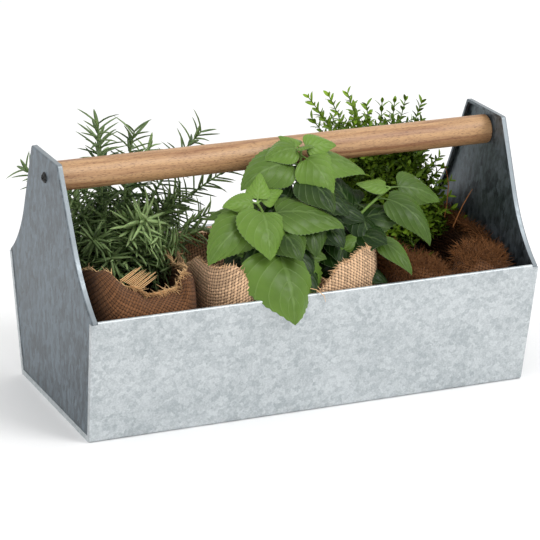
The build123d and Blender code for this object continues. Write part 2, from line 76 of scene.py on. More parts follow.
# Shoots: foot as shares of the pot's foot radius, along the row and away from the handle; then in mm the
# tip's distance along the row from the pot's axis, its distance from the handle's lane, and its height over
# the rim; then youth, from dark below 0 to the palest above 1
ROSEMARY_SHOOTS = [
    (-0.4, -0.2, -16, 30, 119, -0.25),
    (0.1, -0.4, 15, 27, 110, -0.25),
    (0.4, 0.0, 82, 45, 98, -0.25),
    (0.2, -0.3, 100, 35, 64, -0.2),
    (0.1, -0.7, 6, 22, 36, 1.0),
    (-0.6, 0.5, -64, 77, 72, -0.25),
    (-0.7, 0.1, -44, 36, 61, 0.1),
    (0.4, -0.6, 56, 27, 56, -0.1),
    (-0.2, 0.5, -1, 66, 96, 0.2),
    (0.3, 0.6, 44, 70, 81, 0.2),
    (0.6, -0.3, 70, 14, 22, 0.5),
    (0.5, -0.5, 80, 24, 32, 0.5),
    (0.7, 0.1, 76, 36, 18, 0.2),
    (0.6, 0.4, 62, 48, 26, 0.1),
    (0.5, 0.6, 56, 64, 24, 0.1),
    (0.3, -0.1, 50, 30, 40, 0.2),
]
# Shoots that bend straight towards the front, so that their open tips face it
ROSEMARY_FACING_SHOOTS = [
    (0.1, -0.7, 18, 6, 38, 1.6),
    (0.4, -0.7, 30, 8, 22, 1.4),
    (0.6, -0.6, 46, 10, 10, 1.0),
    (0.7, -0.5, 44, 8, -6, 0.4),
    (0.8, -0.2, 54, 16, 0, 0.3),
    (-0.5, -0.5, -30, 8, 26, 0.05),
    (-0.2, -0.7, -14, 8, 8, 0.1),
]
THYME_SHOOTS = [
    (-0.5, 0.0, -69, 45, 118, 0.9),
    (-0.4, 0.3, -45, 55, 114, 0.9),
    (-0.3, -0.3, -37, 35, 121, 1.0),
    (-0.1, 0.1, -14, 45, 105, 0.5),
    (0.1, 0.5, 8, 60, 102, 0.4),
    (0.1, -0.2, 7, 33, 109, 0.4),
    (0.3, 0.3, 28, 55, 103, 0.3),
    (0.4, -0.1, 33, 33, 106, 0.3),
    (0.7, -0.5, 52, 15, 24, 0.8),
    (0.7, -0.1, 50, 30, 56, 0.7),
    (-0.6, -0.4, -53, 25, 41, 0.2),
    (-0.2, -0.6, -23, 14, 51, 0.3),
    (0.2, -0.6, 12, 14, 56, 0.4),
    (-0.7, 0.4, -68, 60, 61, 0.2),
    (0.3, 0.8, 22, 70, 61, 0.3),
    (-0.3, 0.8, -28, 73, 66, 0.2),
    (0.6, 0.5, 50, 60, 76, 0.5),
    (0.8, -0.2, 54, 16, 38, 0.6),
    (0.8, 0.2, 54, 34, 44, 0.5),
    (0.9, -0.3, 53, 10, 14, 0.7),
    (0.0, -0.8, 0, 6, 5, 0.3),
    (0.3, -0.8, 18, 5, 0, 0.3),
    (0.6, -0.6, 36, 8, 6, 0.4),
    (-0.4, -0.7, -22, 6, 8, 0.3),
    (-0.7, -0.4, -44, 10, 10, 0.3),
]
MINT_SHOOTS = [
    (0.2, -0.3, 13, 20, 103, 0.6),
    (-0.3, 0.1, -37, 46, 69, 0.7),
    (0.5, -0.2, 92, 28, 63, 0.15),
]
# The two front shoots have their tips placed from the trough's front rim instead of the handle
MINT_FRONT_SHOOTS = [
    (-0.4, 0.5, -25, 32, 33, 0.5),
    (0.6, 0.6, 62, 30, 30, 0.3),
]
# Leaves: shoot, place along it; in degrees the heading, rise at the stalk and bend along the leaf; in mm the
# length and width
MINT_LEAVES = [
    (0, 1.0, 185, 15, 50, 34, 21),
    (0, 1.0, -5, 20, 40, 30, 18),
    (0, 1.0, 130, 40, 40, 22, 14),
    (0, 1.0, -80, 45, 60, 18, 12),
    (0, 0.95, -60, -10, 70, 44, 31),
    (0, 0.9, -8, 15, 60, 58, 28),
    (0, 0.88, 190, 20, 65, 60, 30),
    (0, 0.6, -95, 0, 70, 55, 34),
    (1, 1.0, 180, 20, 40, 30, 15),
    (1, 1.0, 20, 25, 30, 28, 14),
    (1, 1.0, 60, 60, 20, 26, 16),
    (1, 0.94, -100, -5, 75, 50, 37),
    (1, 0.85, 200, 5, 60, 68, 32),
    (1, 0.85, 165, 20, 40, 45, 28),
    (1, 0.85, -20, 20, 60, 66, 33),
    (2, 1.0, 175, 20, 20, 30, 14),
    (2, 1.0, -8, 5, 50, 46, 25),
    (2, 0.9, -45, 5, 85, 62, 24),
    (2, 0.55, -66, 24, 36, 50, 36),
    (2, 0.6, 170, 60, 10, 48, 30),
    (2, 0.65, -12, 30, 40, 50, 28),
    (3, 1.0, -92, -20, 60, 68, 60),
    (3, 0.9, 186, 30, 50, 38, 26),
    (3, 0.9, -15, 15, 50, 40, 24),
    (4, 1.0, -60, 5, 70, 46, 16),
    (4, 0.95, 178, 20, 50, 28, 16),
]

# Leaves between and behind those, in the same terms; they are darkened as painted shade
MINT_INNER_LEAVES = [
    (0, 0.75, 120, 25, 50, 50, 30),
    (0, 0.7, -35, 5, 60, 46, 30),
    (0, 0.5, 175, 10, 60, 48, 32),
    (0, 0.45, 15, 20, 50, 46, 32),
    (1, 0.6, 140, 10, 50, 44, 28),
    (1, 0.6, -60, 0, 60, 44, 30),
    (2, 0.8, 140, 30, 40, 46, 28),
    (2, 0.75, -100, 0, 60, 38, 26),
    (3, 0.7, -150, 15, 50, 34, 24),
    (4, 0.8, 60, 40, 30, 40, 26),
    (2, 0.7, 150, 70, 20, 52, 38),
    (0, 0.8, -70, 0, 60, 46, 30),
    (0, 0.6, -20, 10, 50, 56, 34),
    (0, 0.6, 200, 15, 50, 50, 32),
    (1, 0.75, -75, 5, 60, 46, 32),
    (1, 0.7, 220, 0, 60, 50, 30),
    (2, 0.45, -95, 20, 60, 44, 32),
    (2, 0.4, -10, 35, 50, 50, 32),
    (3, 0.75, -60, 0, 60, 40, 28),
    (3, 0.6, 200, 20, 60, 44, 28),
    (4, 0.6, -30, 10, 60, 40, 26),
    (4, 0.7, 160, 10, 50, 40, 26),
    (1, 0.5, 200, -5, 50, 48, 34),
    (1, 0.55, 172, 8, 60, 48, 34),
    (1, 0.5, -95, 5, 60, 46, 34),
    (3, 0.6, 185, 10, 40, 46, 30),
    (0, 0.74, 165, 12, 50, 46, 30),
    (0, 0.7, 205, 5, 60, 48, 30),
    (0, 0.55, -60, 5, 60, 50, 34),
    (2, 0.5, 200, 20, 50, 46, 32),
    (2, 0.6, -120, 5, 50, 44, 30),
]

# Burlap sacks in mm: their two sides along the row, each at the front wall and at the back wall
SACK_SIDES = {
    "rosemary": ((-188.9, -188.9), (-100, -72)),
    "mint": ((-97, -69), (66, 80)),
    "thyme": ((69, 83), (188.9, 188.9)),
}
# The edge along the front: place in the row and height over the trough's rim
SACK_FRONTS = {
    "rosemary": [(-188, 28), (-175, 30), (-156, 16), (-143, 6), (-118, 8), (-109, 20), (-100, 20)],
    "mint": [(-97, 8), (-86, 27), (-74, 28), (-44, 0), (-4, -1), (25, 22), (40, 30), (52, 30), (66, 10)],
    "thyme": [(69, 12), (79, 20), (100, 12), (131, -5), (138, 10), (146, 16), (166, 9), (188, -3)],
}
SACK_BACK_EDGE = 5
SACK_EDGE_FALL = 60
SACK_HALF_DEPTH = 98.4
SACK_BELLY_DEPTH = 85.7
SACK_BELLY_HEIGHT = 20
SACK_WALL_TUCK = 10
SACK_MOUTH_LEAN = 26
SACK_MOUTH_INSET = 3
SACK_SQUARENESS = 5
SACK_PLAY = 2.3
# Turn of the weave against the upright, in degrees
SACK_BIAS = {"rosemary": 38, "mint": 5, "thyme": 20}
# Threads left standing at a cut edge, in mm: shortest, longest, and spacing along the edge
SACK_FRINGES = {"rosemary": (3, 9, 0.8), "mint": (2, 5, 1.3), "thyme": (6, 15, 0.6)}
# A fold of the rosemary's sack has shed its cross threads: first and last root of the others, in mm, and
# their direction, length and number
STRAW_ROOTS = (Vector((-162, -67, 129)), Vector((-145, -67, 119)))
STRAW_WAY = Vector((0.84, 0.05, 0.5))
STRAW_LENGTH = 19
STRAW_COUNT = 13
# Stretch of the rosemary's front edge where the fringe has fallen outwards
FALLEN_FRINGE = (-160, -108)
# Threads and hairs pulled out of the cloth, as points along each, in mm
LOOSE_THREADS = {
    "rosemary": [],
    "mint": [[(-22, -84, 111), (-12, -95, 113), (-5, -103, 112.5), (0, -107.5, 108), (1, -108, 103)]],
    "thyme": [
        [(172, 18, 118), (174, 18, 132), (176, 20, 147), (174, 20, 158), (171, 20, 167)],
        [(166, -10, 118), (170, -10, 127), (175, -10, 137), (180, -10, 145), (184, -10, 151)],
    ],
}

# Leaf of the mint: stations along it, lanes across it, share taken by the stalk, and its arching side veins
LEAF_STATIONS = 33
LEAF_LANES = 13
LEAF_STALK_END = 0.14
LEAF_SKIN = 0.4 * MM
VEIN_PAIRS = 5
VEIN_SWEEP = 0.6
VEIN_BOW = 1.12
# Scale of every leaf's length and width, over what its row says
LEAF_LENGTHENING = 1.06
LEAF_WIDENING = 1.2

# Needle of the rosemary: stations along it, spread from the stem in degrees, width as a share of its length,
# and share of the shoot that is bare
NEEDLE_STATIONS = (0.0, 0.12, 0.35, 0.6, 0.85, 1.0)
NEEDLE_SPREAD = 66
NEEDLE_SLIMNESS = 0.12
NEEDLE_BARE_FOOT = 0.13
# Leaf of the thyme: place along it, share of its width and lift of its sides; then its width as a share of
# its length, share of the shoot that is bare, and distance from pair to pair
LEAFLET_OUTLINE = ((0.0, 0.12, 0), (0.3, 0.85, 0.1), (0.55, 1.0, 0.12), (0.8, 0.7, 0.08), (1.0, 0.06, 0))
LEAFLET_SLIMNESS = 0.42
LEAFLET_BARE_FOOT = 0.14
LEAFLET_GAP = 4.6 * MM

# Rings and points of each sack's mesh, and the depth of its creases
SACK_POINTS = 240
STANDING_LEVELS = 16
WALL_LEVEL = 5
CREASE_DEPTH = 2.8 * MM
# Teased-out fibres on the thyme's sack
FUR_COUNT = 6500
FUR_RADIUS = 0.32 * MM

# Camera at the photograph's viewing angle: picture width and focal length in pixels, the point it looks at
# and its distance in metres, its sideways and upward shift, and azimuth, elevation and roll in degrees
IMAGE_SIZE = 540
FOCAL_PIXELS = 2773.874
CAMERA_TARGET = Vector((0, 0, 0.1))
CAMERA_DISTANCE = 2.359352
CAMERA_OFFSET = (-0.001913, -0.003271)
CAMERA_ANGLES = (-23.358, 18.651, 0.533)
# Studio in metres: half width of the floor, width of the lamps and their places
FLOOR_REACH = 30
LAMP_WIDTH = 1.0
KEY_PLACE = (0.9, -1.5, 1.9)
FILL_PLACE = (-1.8, -0.6, 0.9)


def linear(code):
    """Linear colour of an sRGB hex value."""
    shares = [int(code[i:i + 2], 16) / 255 for i in (1, 3, 5)]
    return [s / 12.92 if s <= 0.04045 else ((s + 0.055) / 1.055) ** 2.4 for s in shares] + [1.0]


def colour(name, description, code):
    return FloatVectorProperty(name=name, description=description, subtype="COLOR", size=4, min=0, max=1,
                               default=linear(code))


def size(name, description, millimetres):
    return FloatProperty(name=name, description=description, subtype="DISTANCE", unit="LENGTH", min=0.0001,
                         precision=4, default=millimetres * MM)


def quantity(name, description, value, unit="NONE"):
    return FloatProperty(name=name, description=description, unit=unit, min=0, default=value)


class BoxSettings(bpy.types.PropertyGroup):
    front_zinc: colour("Front zinc", "Pale spangle of the trough", "#c9ced0")
    front_shade: colour("Front shade", "Darker spangle of the trough", "#a2a9ac")
    # The end panels' colours are the trough's zinc darkened as painted shade, for the dark surroundings that
    # their sides reflect; their streaks are the zinc's own
    end_zinc_shaded: colour("End zinc", "Light streaks of the end panels", "#747f87")
    end_ground_shaded: colour("End shade", "Dark ground of the end panels", "#313b42")
    # Painted highlight: a paler colour on the turned-in edges of the end panels, for the light that they
    # catch
    end_edge_highlight: colour("End edge", "Turned-in edges of the end panels", "#878f94")
    spangle: size("Spangle", "Width of one zinc crystal", 4)
    streak: size("Streak", "Width of one streak on the end panels", 4.4)


class HandleSettings(bpy.types.PropertyGroup):
    pale_wood: colour("Pale wood", "Early wood of the handle", "#c0976c")
    dark_wood: colour("Dark wood", "Late wood of the handle", "#916543")
    pores: colour("Pores", "Open pores and stained flecks", "#54301c")
    screw: colour("Screw", "Blackened screw heads", "#1d1d1d")
    worn: colour("Worn screw", "Where the screws' coating is worn", "#4a4a48")
    grain: size("Grain", "Spacing of the grain across the handle", 3)


class PotSettings(bpy.types.PropertyGroup):
    plastic: colour("Pot", "Black nursery pot", "#161616")
    dust: colour("Dust", "Dry dust on the pots", "#3a3631")
    soil_dark: colour("Dark soil", "Damp peat", "#20150e")
    soil_pale: colour("Pale soil", "Dry crumbs and fibres", "#4a3524")
    crumb: size("Crumb", "Size of one crumb of soil", 3)


class BurlapSettings(bpy.types.PropertyGroup):
    light: colour("Light jute", "Threads of the mint's sack", "#d5b08c")
    dark: colour("Dark jute", "Threads of the other two sacks", "#724d31")
    rosemary_fray: colour("Rosemary fray", "Loose ends at the rosemary's sack", "#c9a578")
    mint_fray: colour("Mint fray", "Loose ends at the mint's sack", "#cba57c")
    thyme_fray: colour("Thyme fray", "Teased-out fibres of the thyme's sack", "#8a5a32")
    # Painted shade: the gaps between the threads are coloured dark for the shade seen through them
    hollow_shade: colour("Hollows", "Gaps between the threads", "#2a170c")
    pitch: size("Thread pitch", "Distance from thread to thread", 2.7)


class HerbSettings(bpy.types.PropertyGroup):
    rosemary_old: colour("Old needles", "Dark lower needles", "#2a4316")
    rosemary_young: colour("Young needles", "Pale needles near the tips", "#a9c484")
    # Dark end of the mint's leaves: the old leaves' own green, and also the painted shade that the inner
    # leaves take
    mint_old_and_shaded: colour("Old leaves", "Dark lower leaves", "#182f09")
    mint_young: colour("Young leaves", "Light upper leaves", "#6b8b38")
    mint_under: colour("Leaf underside", "Pale underside", "#728a62")
    mint_vein: colour("Veins", "Veins of the leaves", "#9dbb74")
    thyme_old: colour("Old leaflets", "Dark lower leaflets", "#1c390b")
    thyme_young: colour("Young leaflets", "Yellow-green tips", "#86a82e")


class StageSettings(bpy.types.PropertyGroup):
    floor: colour("Floor", "Pale studio floor", "#fbfbfb")
    key: quantity("Key lamp", "Power of the soft lamp above the front", 26, "POWER")
    fill: quantity("Fill lamp", "Power of the soft lamp on the left", 2, "POWER")
    world: quantity("Surroundings", "Strength of the white surroundings", 0.95)


SETTINGS = {
    "planter_box": BoxSettings,
    "planter_handle": HandleSettings,
    "planter_pots": PotSettings,
    "planter_burlap": BurlapSettings,
    "planter_herbs": HerbSettings,
    "planter_stage": StageSettings,
}


# Materials

def feed(tree, node, inputs):
    """Sets a node's inputs, by name or in order, to values or to the sockets that they come from."""
    for key, value in inputs.items() if isinstance(inputs, dict) else enumerate(inputs):
        if isinstance(value, bpy.types.NodeSocket):
            tree.links.new(value, node.inputs[key])
        else:
            node.inputs[key].default_value = value


def add(tree, kind, inputs=(), out=0, **settings):
    """Adds a shader node with its settings and inputs, and gives back one of its outputs."""
    made = tree.nodes.new("ShaderNode" + kind)
    for key, value in settings.items():
        setattr(made, key, value)
    feed(tree, made, inputs)
    return made.outputs[out]


def new_material(name):
    """Empty node material, with its tree and its surface shader."""
    material = bpy.data.materials.new(name)
    material.use_nodes = True
    return material, material.node_tree, material.node_tree.nodes["Principled BSDF"]


def ramp(tree, factor, *stops):
    """Colour ramp through (place, colour) stops."""
    made = add(tree, "ValToRGB", {"Fac": factor})
    elements = made.node.color_ramp.elements
    while len(elements) < len(stops):
        elements.new(0.5)
    for element, (place, tint) in zip(elements, stops):
        element.position = place
        element.color = tint
    return made


def finish_surface(tree, shader, tint, rough, height, depth, strength=0.5):
    """Feeds colour, roughness and relief into the surface shader; depth is the relief's real depth."""
    bump = add(tree, "Bump", {"Height": height, "Distance": depth, "Strength": strength})
    feed(tree, shader, {"Normal": bump, "Base Color": tint, "Roughness": rough})


def galvanised_sheet(name, pale, shade, crystal, stretch, contrast, fineness, edge=None):
    """Hot-dip galvanised sheet: frosted zinc crystals that differ in brightness and gloss, in a dull skin.
    Stretch draws the crystals out along Z, as they run where the zinc drained, and fineness is the frost's.
    An edge colour, where given, is a painted highlight on the turned-in edges of a panel across X, for the
    light that they catch."""
    material, tree, shader = new_material(name)
    place = add(tree, "TexCoord", out="Object")
    lean = (STREAK_LEAN, 0, 0)
    drawn = add(tree, "Mapping", {"Vector": place, "Rotation": lean, "Scale": (1, 1, stretch)},
                vector_type="TEXTURE")
    wander = add(tree, "TexNoise", {"Vector": drawn, "Scale": 1 / crystal, "Detail": 5, "Roughness": 0.65},
                 "Color")
    moved = add(tree, "MixRGB", {"Fac": 1.8 * crystal, "Color1": drawn, "Color2": wander}, blend_type="ADD")
    cells = add(tree, "TexVoronoi", {"Vector": moved, "Scale": 1 / crystal}, "Color")
    grey = add(tree, "SeparateColor", {"Color": cells})
    frost = add(tree, "TexNoise",
                {"Vector": drawn, "Scale": fineness / crystal, "Detail": 5, "Roughness": 0.6})
    cloud = add(tree, "TexNoise", {"Vector": place, "Scale": 0.12 / crystal, "Detail": 2})
    mixed = add(tree, "Math", [grey, contrast, frost], operation="MULTIPLY_ADD")
    mixed = add(tree, "Math", [cloud, 0.4, mixed], operation="MULTIPLY_ADD")
    usual = {"From Min": 0.54 + 0.25 * contrast, "From Max": 0.86 + 0.75 * contrast}
    even = add(tree, "MapRange", {"Value": mixed, **usual})
    tint = ramp(tree, even, (0.0, shade), (1.0, pale))
    if edge is not None:
        # Painted highlight: faces that do not face along X, the turned-in edges, take the edge colour
        across = add(tree, "SeparateXYZ", {"Vector": place.node.outputs["Normal"]})
        broad = add(tree, "Math", [across], operation="ABSOLUTE")
        tint = add(tree, "MixRGB", {"Fac": broad, "Color1": edge, "Color2": tint})
    rough = add(tree, "MapRange", {"Value": even, "To Min": 0.32, "To Max": 0.5})
    feed(tree, shader, {"Metallic": 0.6})
    finish_surface(tree, shader, tint, rough, even, 0.1 * MM, 0.2)
    return material


def oiled_hardwood(settings):
    """Turned and oiled hardwood: soft long grain bands along the bar with short dark open pores."""
    material, tree, shader = new_material("oiled_hardwood")
    place = add(tree, "TexCoord", out="Object")
    along = add(tree, "Mapping", {"Vector": place, "Scale": (0.05, 1, 1)})
    bands = add(tree, "TexNoise",
                {"Vector": along, "Scale": 0.35 / settings.grain, "Detail": 4, "Distortion": 0.6})
    fibres = add(tree, "TexNoise", {"Vector": along, "Scale": 4 / settings.grain, "Detail": 4})
    short = add(tree, "Mapping", {"Vector": place, "Scale": (0.22, 1, 1)})
    pores = add(tree, "TexNoise", {"Vector": short, "Scale": 4.5 / settings.grain, "Detail": 3})
    grain = add(tree, "Math", [fibres, 0.35, bands], operation="MULTIPLY_ADD")
    wood = ramp(tree, grain, (0.5, settings.dark_wood), (0.74, settings.pale_wood))
    fleck = ramp(tree, pores, (0.52, BLACK), (0.72, PORE_COVER))
    tint = add(tree, "MixRGB", {"Fac": fleck, "Color1": wood, "Color2": settings.pores})
    feed(tree, shader, {"IOR": 1.5, "Coat Weight": 0.15, "Coat Roughness": 0.35})
    finish_surface(tree, shader, tint, 0.48, pores, -0.2 * MM, 0.4)
    return material


def blackened_steel(settings):
    """Blackened screw steel: dark and dull, with slight wear in the coating."""
    material, tree, shader = new_material("blackened_steel")
    place = add(tree, "TexCoord", out="Object")
    wear = add(tree, "TexNoise", {"Vector": place, "Scale": 1 / (1.2 * MM), "Detail": 4})
    tint = ramp(tree, wear, (0.4, settings.screw), (0.8, settings.worn))
    feed(tree, shader, {"Metallic": 0.7})
    finish_surface(tree, shader, tint, 0.5, wear, 0.1 * MM)
    return material


def moulded_polypropylene(settings):
    """Thin moulded polypropylene: black, slightly glossy, with a fine moulded grain and dusty patches."""
    material, tree, shader = new_material("moulded_polypropylene")
    place = add(tree, "TexCoord", out="Object")
    grain = add(tree, "TexNoise", {"Vector": place, "Scale": 1 / (1.5 * MM), "Detail": 3})
    dust = add(tree, "TexNoise", {"Vector": place, "Scale": 1 / (25 * MM), "Detail": 5})
    tint = ramp(tree, dust, (0.5, settings.plastic), (0.85, settings.dust))
    feed(tree, shader, {"IOR": 1.49})
    finish_surface(tree, shader, tint, 0.42, grain, 0.1 * MM)
    return material


def potting_soil(settings):
    """Peat potting soil: dark damp crumbs with paler dry fibres."""
    material, tree, shader = new_material("potting_soil")
    place = add(tree, "TexCoord", out="Object")
    crumbs = add(tree, "TexVoronoi", {"Vector": place, "Scale": 1 / settings.crumb})
    fine = add(tree, "TexNoise", {"Vector": place, "Scale": 2 / settings.crumb, "Detail": 8})
    tint = ramp(tree, fine, (0.45, settings.soil_dark), (0.75, settings.soil_pale))
    finish_surface(tree, shader, tint, 0.95, crumbs, -1.5 * MM, 1.0)
    return material


def woven_jute(name, thread, settings):
    """Plain-woven jute: coarse uneven threads that pass over and under each other, with painted shade in the
    gaps between.
    The weave follows the cloth's own flat coordinates."""
    material, tree, shader = new_material(name)
    flat = add(tree, "UVMap", uv_map="cloth")
    slow = add(tree, "TexNoise", {"Vector": flat, "Scale": 1 / (14 * MM), "Detail": 2}, "Color")
    drift = add(tree, "MixRGB", {"Fac": 0.9 * MM, "Color1": flat, "Color2": slow}, blend_type="ADD")
    counted = add(tree, "VectorMath", {0: drift, "Scale": 1 / settings.pitch}, operation="SCALE")
    axes = add(tree, "SeparateXYZ", {"Vector": counted}).node.outputs
    rows, arcs, ridges, crowns = [], [], [], []
    for axis in (axes[0], axes[1]):
        rows.append(add(tree, "Math", [axis], operation="FLOOR"))
        turn = add(tree, "Math", [axis, math.pi], operation="MULTIPLY")
        wave = add(tree, "Math", [turn], operation="SINE")
        arcs.append(add(tree, "Math", [wave], operation="ABSOLUTE"))
        ridges.append(add(tree, "Math", [arcs[-1], 0.7], operation="POWER"))
        crowns.append(add(tree, "Math", [arcs[-1], 0.5, 0.5], operation="MULTIPLY_ADD"))
    both = add(tree, "Math", [rows[0], rows[1]], operation="ADD")
    over = add(tree, "Math", [both, 1.0], operation="PINGPONG")
    under = add(tree, "Math", [1.0, over], operation="SUBTRACT")
    warp = add(tree, "Math", [ridges[0], crowns[1]], operation="MULTIPLY")
    weft = add(tree, "Math", [ridges[1], crowns[0]], operation="MULTIPLY")
    height = add(tree, "Mix", {0: over, 2: warp, 3: weft})
    column = add(tree, "Math", [rows[0], under], operation="MULTIPLY")
    line = add(tree, "Math", [rows[1], over], operation="MULTIPLY")
    each = add(tree, "TexWhiteNoise", {"Vector": add(tree, "CombineXYZ", [column, line, over])})
    fibre = add(tree, "TexNoise", {"Vector": flat, "Scale": 1 / (0.7 * MM), "Detail": 3})
    fuzz = add(tree, "Math", [fibre, 0.7], operation="MULTIPLY")
    shade = add(tree, "Math", [each, 0.45, fuzz], operation="MULTIPLY_ADD")
    dark = [part * 0.55 for part in thread[:3]] + [1]
    pale = [min(1, part * 1.35) for part in thread[:3]] + [1]
    jute = ramp(tree, shade, (0.2, dark), (0.55, thread), (0.95, pale))
    # Painted shade in the gaps between the threads
    gap = ramp(tree, height, (0.2, WHITE), (0.5, BLACK))
    tint = add(tree, "MixRGB", {"Fac": gap, "Color1": jute, "Color2": settings.hollow_shade})
    relief = add(tree, "Math", [fibre, 0.25, height], operation="MULTIPLY_ADD")
    feed(tree, shader, {"Sheen Weight": 0.05, "Specular IOR Level": 0.2})
    finish_surface(tree, shader, tint, 0.9, relief, 1.2 * MM, 0.8)
    return material


def jute_fibre(name, thread):
    """Loose jute fibre at a cut edge: pale, straw-like, each strand a little different."""
    material, tree, shader = new_material(name)
    tone = add(tree, "Attribute", out="Fac", attribute_name="tone")
    place = add(tree, "TexCoord", out="Object")
    fuzz = add(tree, "TexNoise", {"Vector": place, "Scale": 1 / (1 * MM), "Detail": 3})
    dark = [part * 0.45 for part in thread[:3]] + [1]
    pale = [min(1, part * 1.5) for part in thread[:3]] + [1]
    tint = ramp(tree, tone, (0.0, dark), (0.5, thread), (1.0, pale))
    feed(tree, shader, {"Specular IOR Level": 0.25})
    finish_surface(tree, shader, tint, 0.85, fuzz, 0.3 * MM)
    return material


def leaf_skin(name, old, young, patch, rough, vein=None, under=None):
    """Living leaf: waxy skin over soft green tissue, darker with age; the tone attribute is its youth and
    painted shade.
    Veins, where given, follow the leaf's own coordinates, and the underside is paler."""
    material, tree, shader = new_material(name)
    tone = add(tree, "Attribute", out="Fac", attribute_name="tone")
    place = add(tree, "TexCoord", out="Object")
    mottle = add(tree, "TexNoise", {"Vector": place, "Scale": 1 / patch, "Detail": 4})
    age = add(tree, "Math", [mottle, 0.35, tone], operation="MULTIPLY_ADD")
    tint = ramp(tree, age, (0.1, old), (1.15, young))
    height = mottle
    if vein is not None:
        side = add(tree, "Attribute", out="Fac", attribute_name="underside")
        leaf = add(tree, "SeparateXYZ", {"Vector": add(tree, "UVMap", uv_map="leaf")}).node.outputs
        offset = add(tree, "Math", [leaf[0], 2.0, -1.0], operation="MULTIPLY_ADD")
        across = add(tree, "Math", [offset], operation="ABSOLUTE")
        bow = add(tree, "Math", [across, VEIN_BOW], operation="POWER")
        sweep = add(tree, "Math", [bow, -VEIN_SWEEP, leaf[1]], operation="MULTIPLY_ADD")
        beat = add(tree, "Math", [sweep, VEIN_PAIRS * math.pi], operation="MULTIPLY")
        wave = add(tree, "Math", [add(tree, "Math", [beat], operation="SINE")], operation="ABSOLUTE")
        laterals = ramp(tree, wave, (0.03, WHITE), (0.2, BLACK))
        midrib = ramp(tree, across, (0.025, WHITE), (0.07, BLACK))
        lines = add(tree, "MixRGB", {"Fac": 1.0, "Color1": laterals, "Color2": midrib},
                    blend_type="LIGHTEN")
        shown = add(tree, "MapRange", {"Value": side, "To Min": 0.15, "To Max": 0.5})
        amount = add(tree, "Math", [lines, shown], operation="MULTIPLY")
        both = add(tree, "MixRGB", {"Fac": side, "Color1": tint, "Color2": under})
        tint = add(tree, "MixRGB", {"Fac": amount, "Color1": both, "Color2": vein})
        height = add(tree, "Math", [lines, -0.5, wave], operation="MULTIPLY_ADD")
    feed(tree, shader, {"IOR": 1.42, "Specular IOR Level": 0.3, "Subsurface Weight": 0.12,
                        "Subsurface Radius": (0.6 * MM, 1.2 * MM, 0.3 * MM)})
    finish_surface(tree, shader, tint, rough, height, 0.5 * MM)
    return material


# Shapes

class Growth:
    """Gathers the points, faces and shades of one piece."""

    def __init__(self):
        self.points, self.faces, self.tones, self.flat, self.under = [], [], [], [], []

    def strip(self, rings, tone, closed=True, flat=None, under=None):
        """Faces between rings of as many points, each a loop if closed; an underside faces the other way."""
        start = len(self.points)
        count = len(rings[0])
        for ring in rings:
            self.points += ring
        self.tones += tone if isinstance(tone, list) else [tone] * (count * len(rings))
        self.flat += flat or [(0.5, 0.5)] * (count * len(rings))
        self.under += under or [0.0] * (count * len(rings))
        for row in range(len(rings) - 1):
            for i in range(count if closed else count - 1):
                a, b = start + row * count + i, start + row * count + (i + 1) % count
                corners = (a, a + count, b + count, b) if under else (a, b, b + count, a + count)
                self.faces.append(corners)

    def tube(self, points, radii, sides, tone):
        """Round tapered stem through the points."""
        rings = []
        for i, (point, radius) in enumerate(zip(points, radii)):
            along = (points[min(i + 1, len(points) - 1)] - points[max(i - 1, 0)]).normalized()
            across = along.orthogonal() if i == 0 else across - along * across.dot(along)
            across.normalize()
            other = along.cross(across)
            turns = [math.tau * k / sides for k in range(sides)]
            rings.append([point + (across * math.cos(a) + other * math.sin(a)) * radius for a in turns])
        self.strip(rings, tone)

    def piece(self, name, material, uv_name="leaf"):
        """Object of all that was gathered, with its shades and flat coordinates."""
        mesh = bpy.data.meshes.new(name)
        mesh.from_pydata(self.points, [], self.faces)
        for key, values in (("tone", self.tones), ("underside", self.under)):
            mesh.attributes.new(key, "FLOAT", "POINT").data.foreach_set("value", values)
        layer = mesh.uv_layers.new(name=uv_name)
        for loop in mesh.loops:
            layer.data[loop.index].uv = self.flat[loop.vertex_index]
        mesh.shade_smooth()
        mesh.materials.append(material)
        made = bpy.data.objects.new(name, mesh)
        bpy.context.scene.collection.objects.link(made)
        return made


class Shoot:
    """A stem that leaves the soil upright and bends over to its tip."""

    def __init__(self, foot, tip, youth, rise=0.6, lean=0.2):
        reach = tip - foot
        self.foot, self.tip, self.youth = foot, tip, youth
        self.bend = foot + Vector((lean * reach.x, lean * reach.y, rise * reach.z))
        self.across = reach.cross(Vector((0, 0, 1))).normalized()
        self.length = reach.length

    def point(self, t):
        return self.foot * (1 - t) ** 2 + self.bend * (2 * t * (1 - t)) + self.tip * t ** 2

    def axes(self, t):
        """Direction of growth and two directions across it."""
        along = ((self.bend - self.foot) * (1 - t) + (self.tip - self.bend) * t).normalized()
        return along, self.across, along.cross(self.across)

    def out(self, t, turn, spread):
        """Heading of a leaf turned round the stem and spread from it, and the stem's direction there."""
        along, across, other = self.axes(t)
        side = across * math.cos(turn) + other * math.sin(turn)
        return along * math.cos(spread) + side * math.sin(spread), along

    def stem(self, growth, foot_radius, tip_radius, tone, sides=6, sections=12):
        shares = [i / (sections - 1) for i in range(sections)]
        radii = [foot_radius + (tip_radius - foot_radius) * t for t in shares]
        growth.tube([self.point(t) for t in shares], radii, sides, tone)


def pot_axis(herb):
    low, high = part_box(herb + "_pot")
    return (low + high) / 2


def soil_top(herb):
    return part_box(herb + "_soil")[1].z


def place_shoot(herb, side, row, tip_y):
    """Shoot of one table row, with its tip at the given distance from the middle of the box."""
    along, away, reach, _, height, youth = row
    axis = pot_axis(herb)
    radius = FOOT_RADIUS * MM
    foot = Vector((axis.x + along * radius, axis.y + side * away * radius, soil_top(herb)))
    return Shoot(foot, Vector((axis.x + reach * MM, side * tip_y, RIM_HEIGHT + height * MM)), youth)


def shoots(herb, side, rows):
    """Shoots of a plant in the lane on one side of the handle, with tips placed from the handle."""
    return [place_shoot(herb, side, row, LANE_EDGE + row[3] * MM) for row in rows]


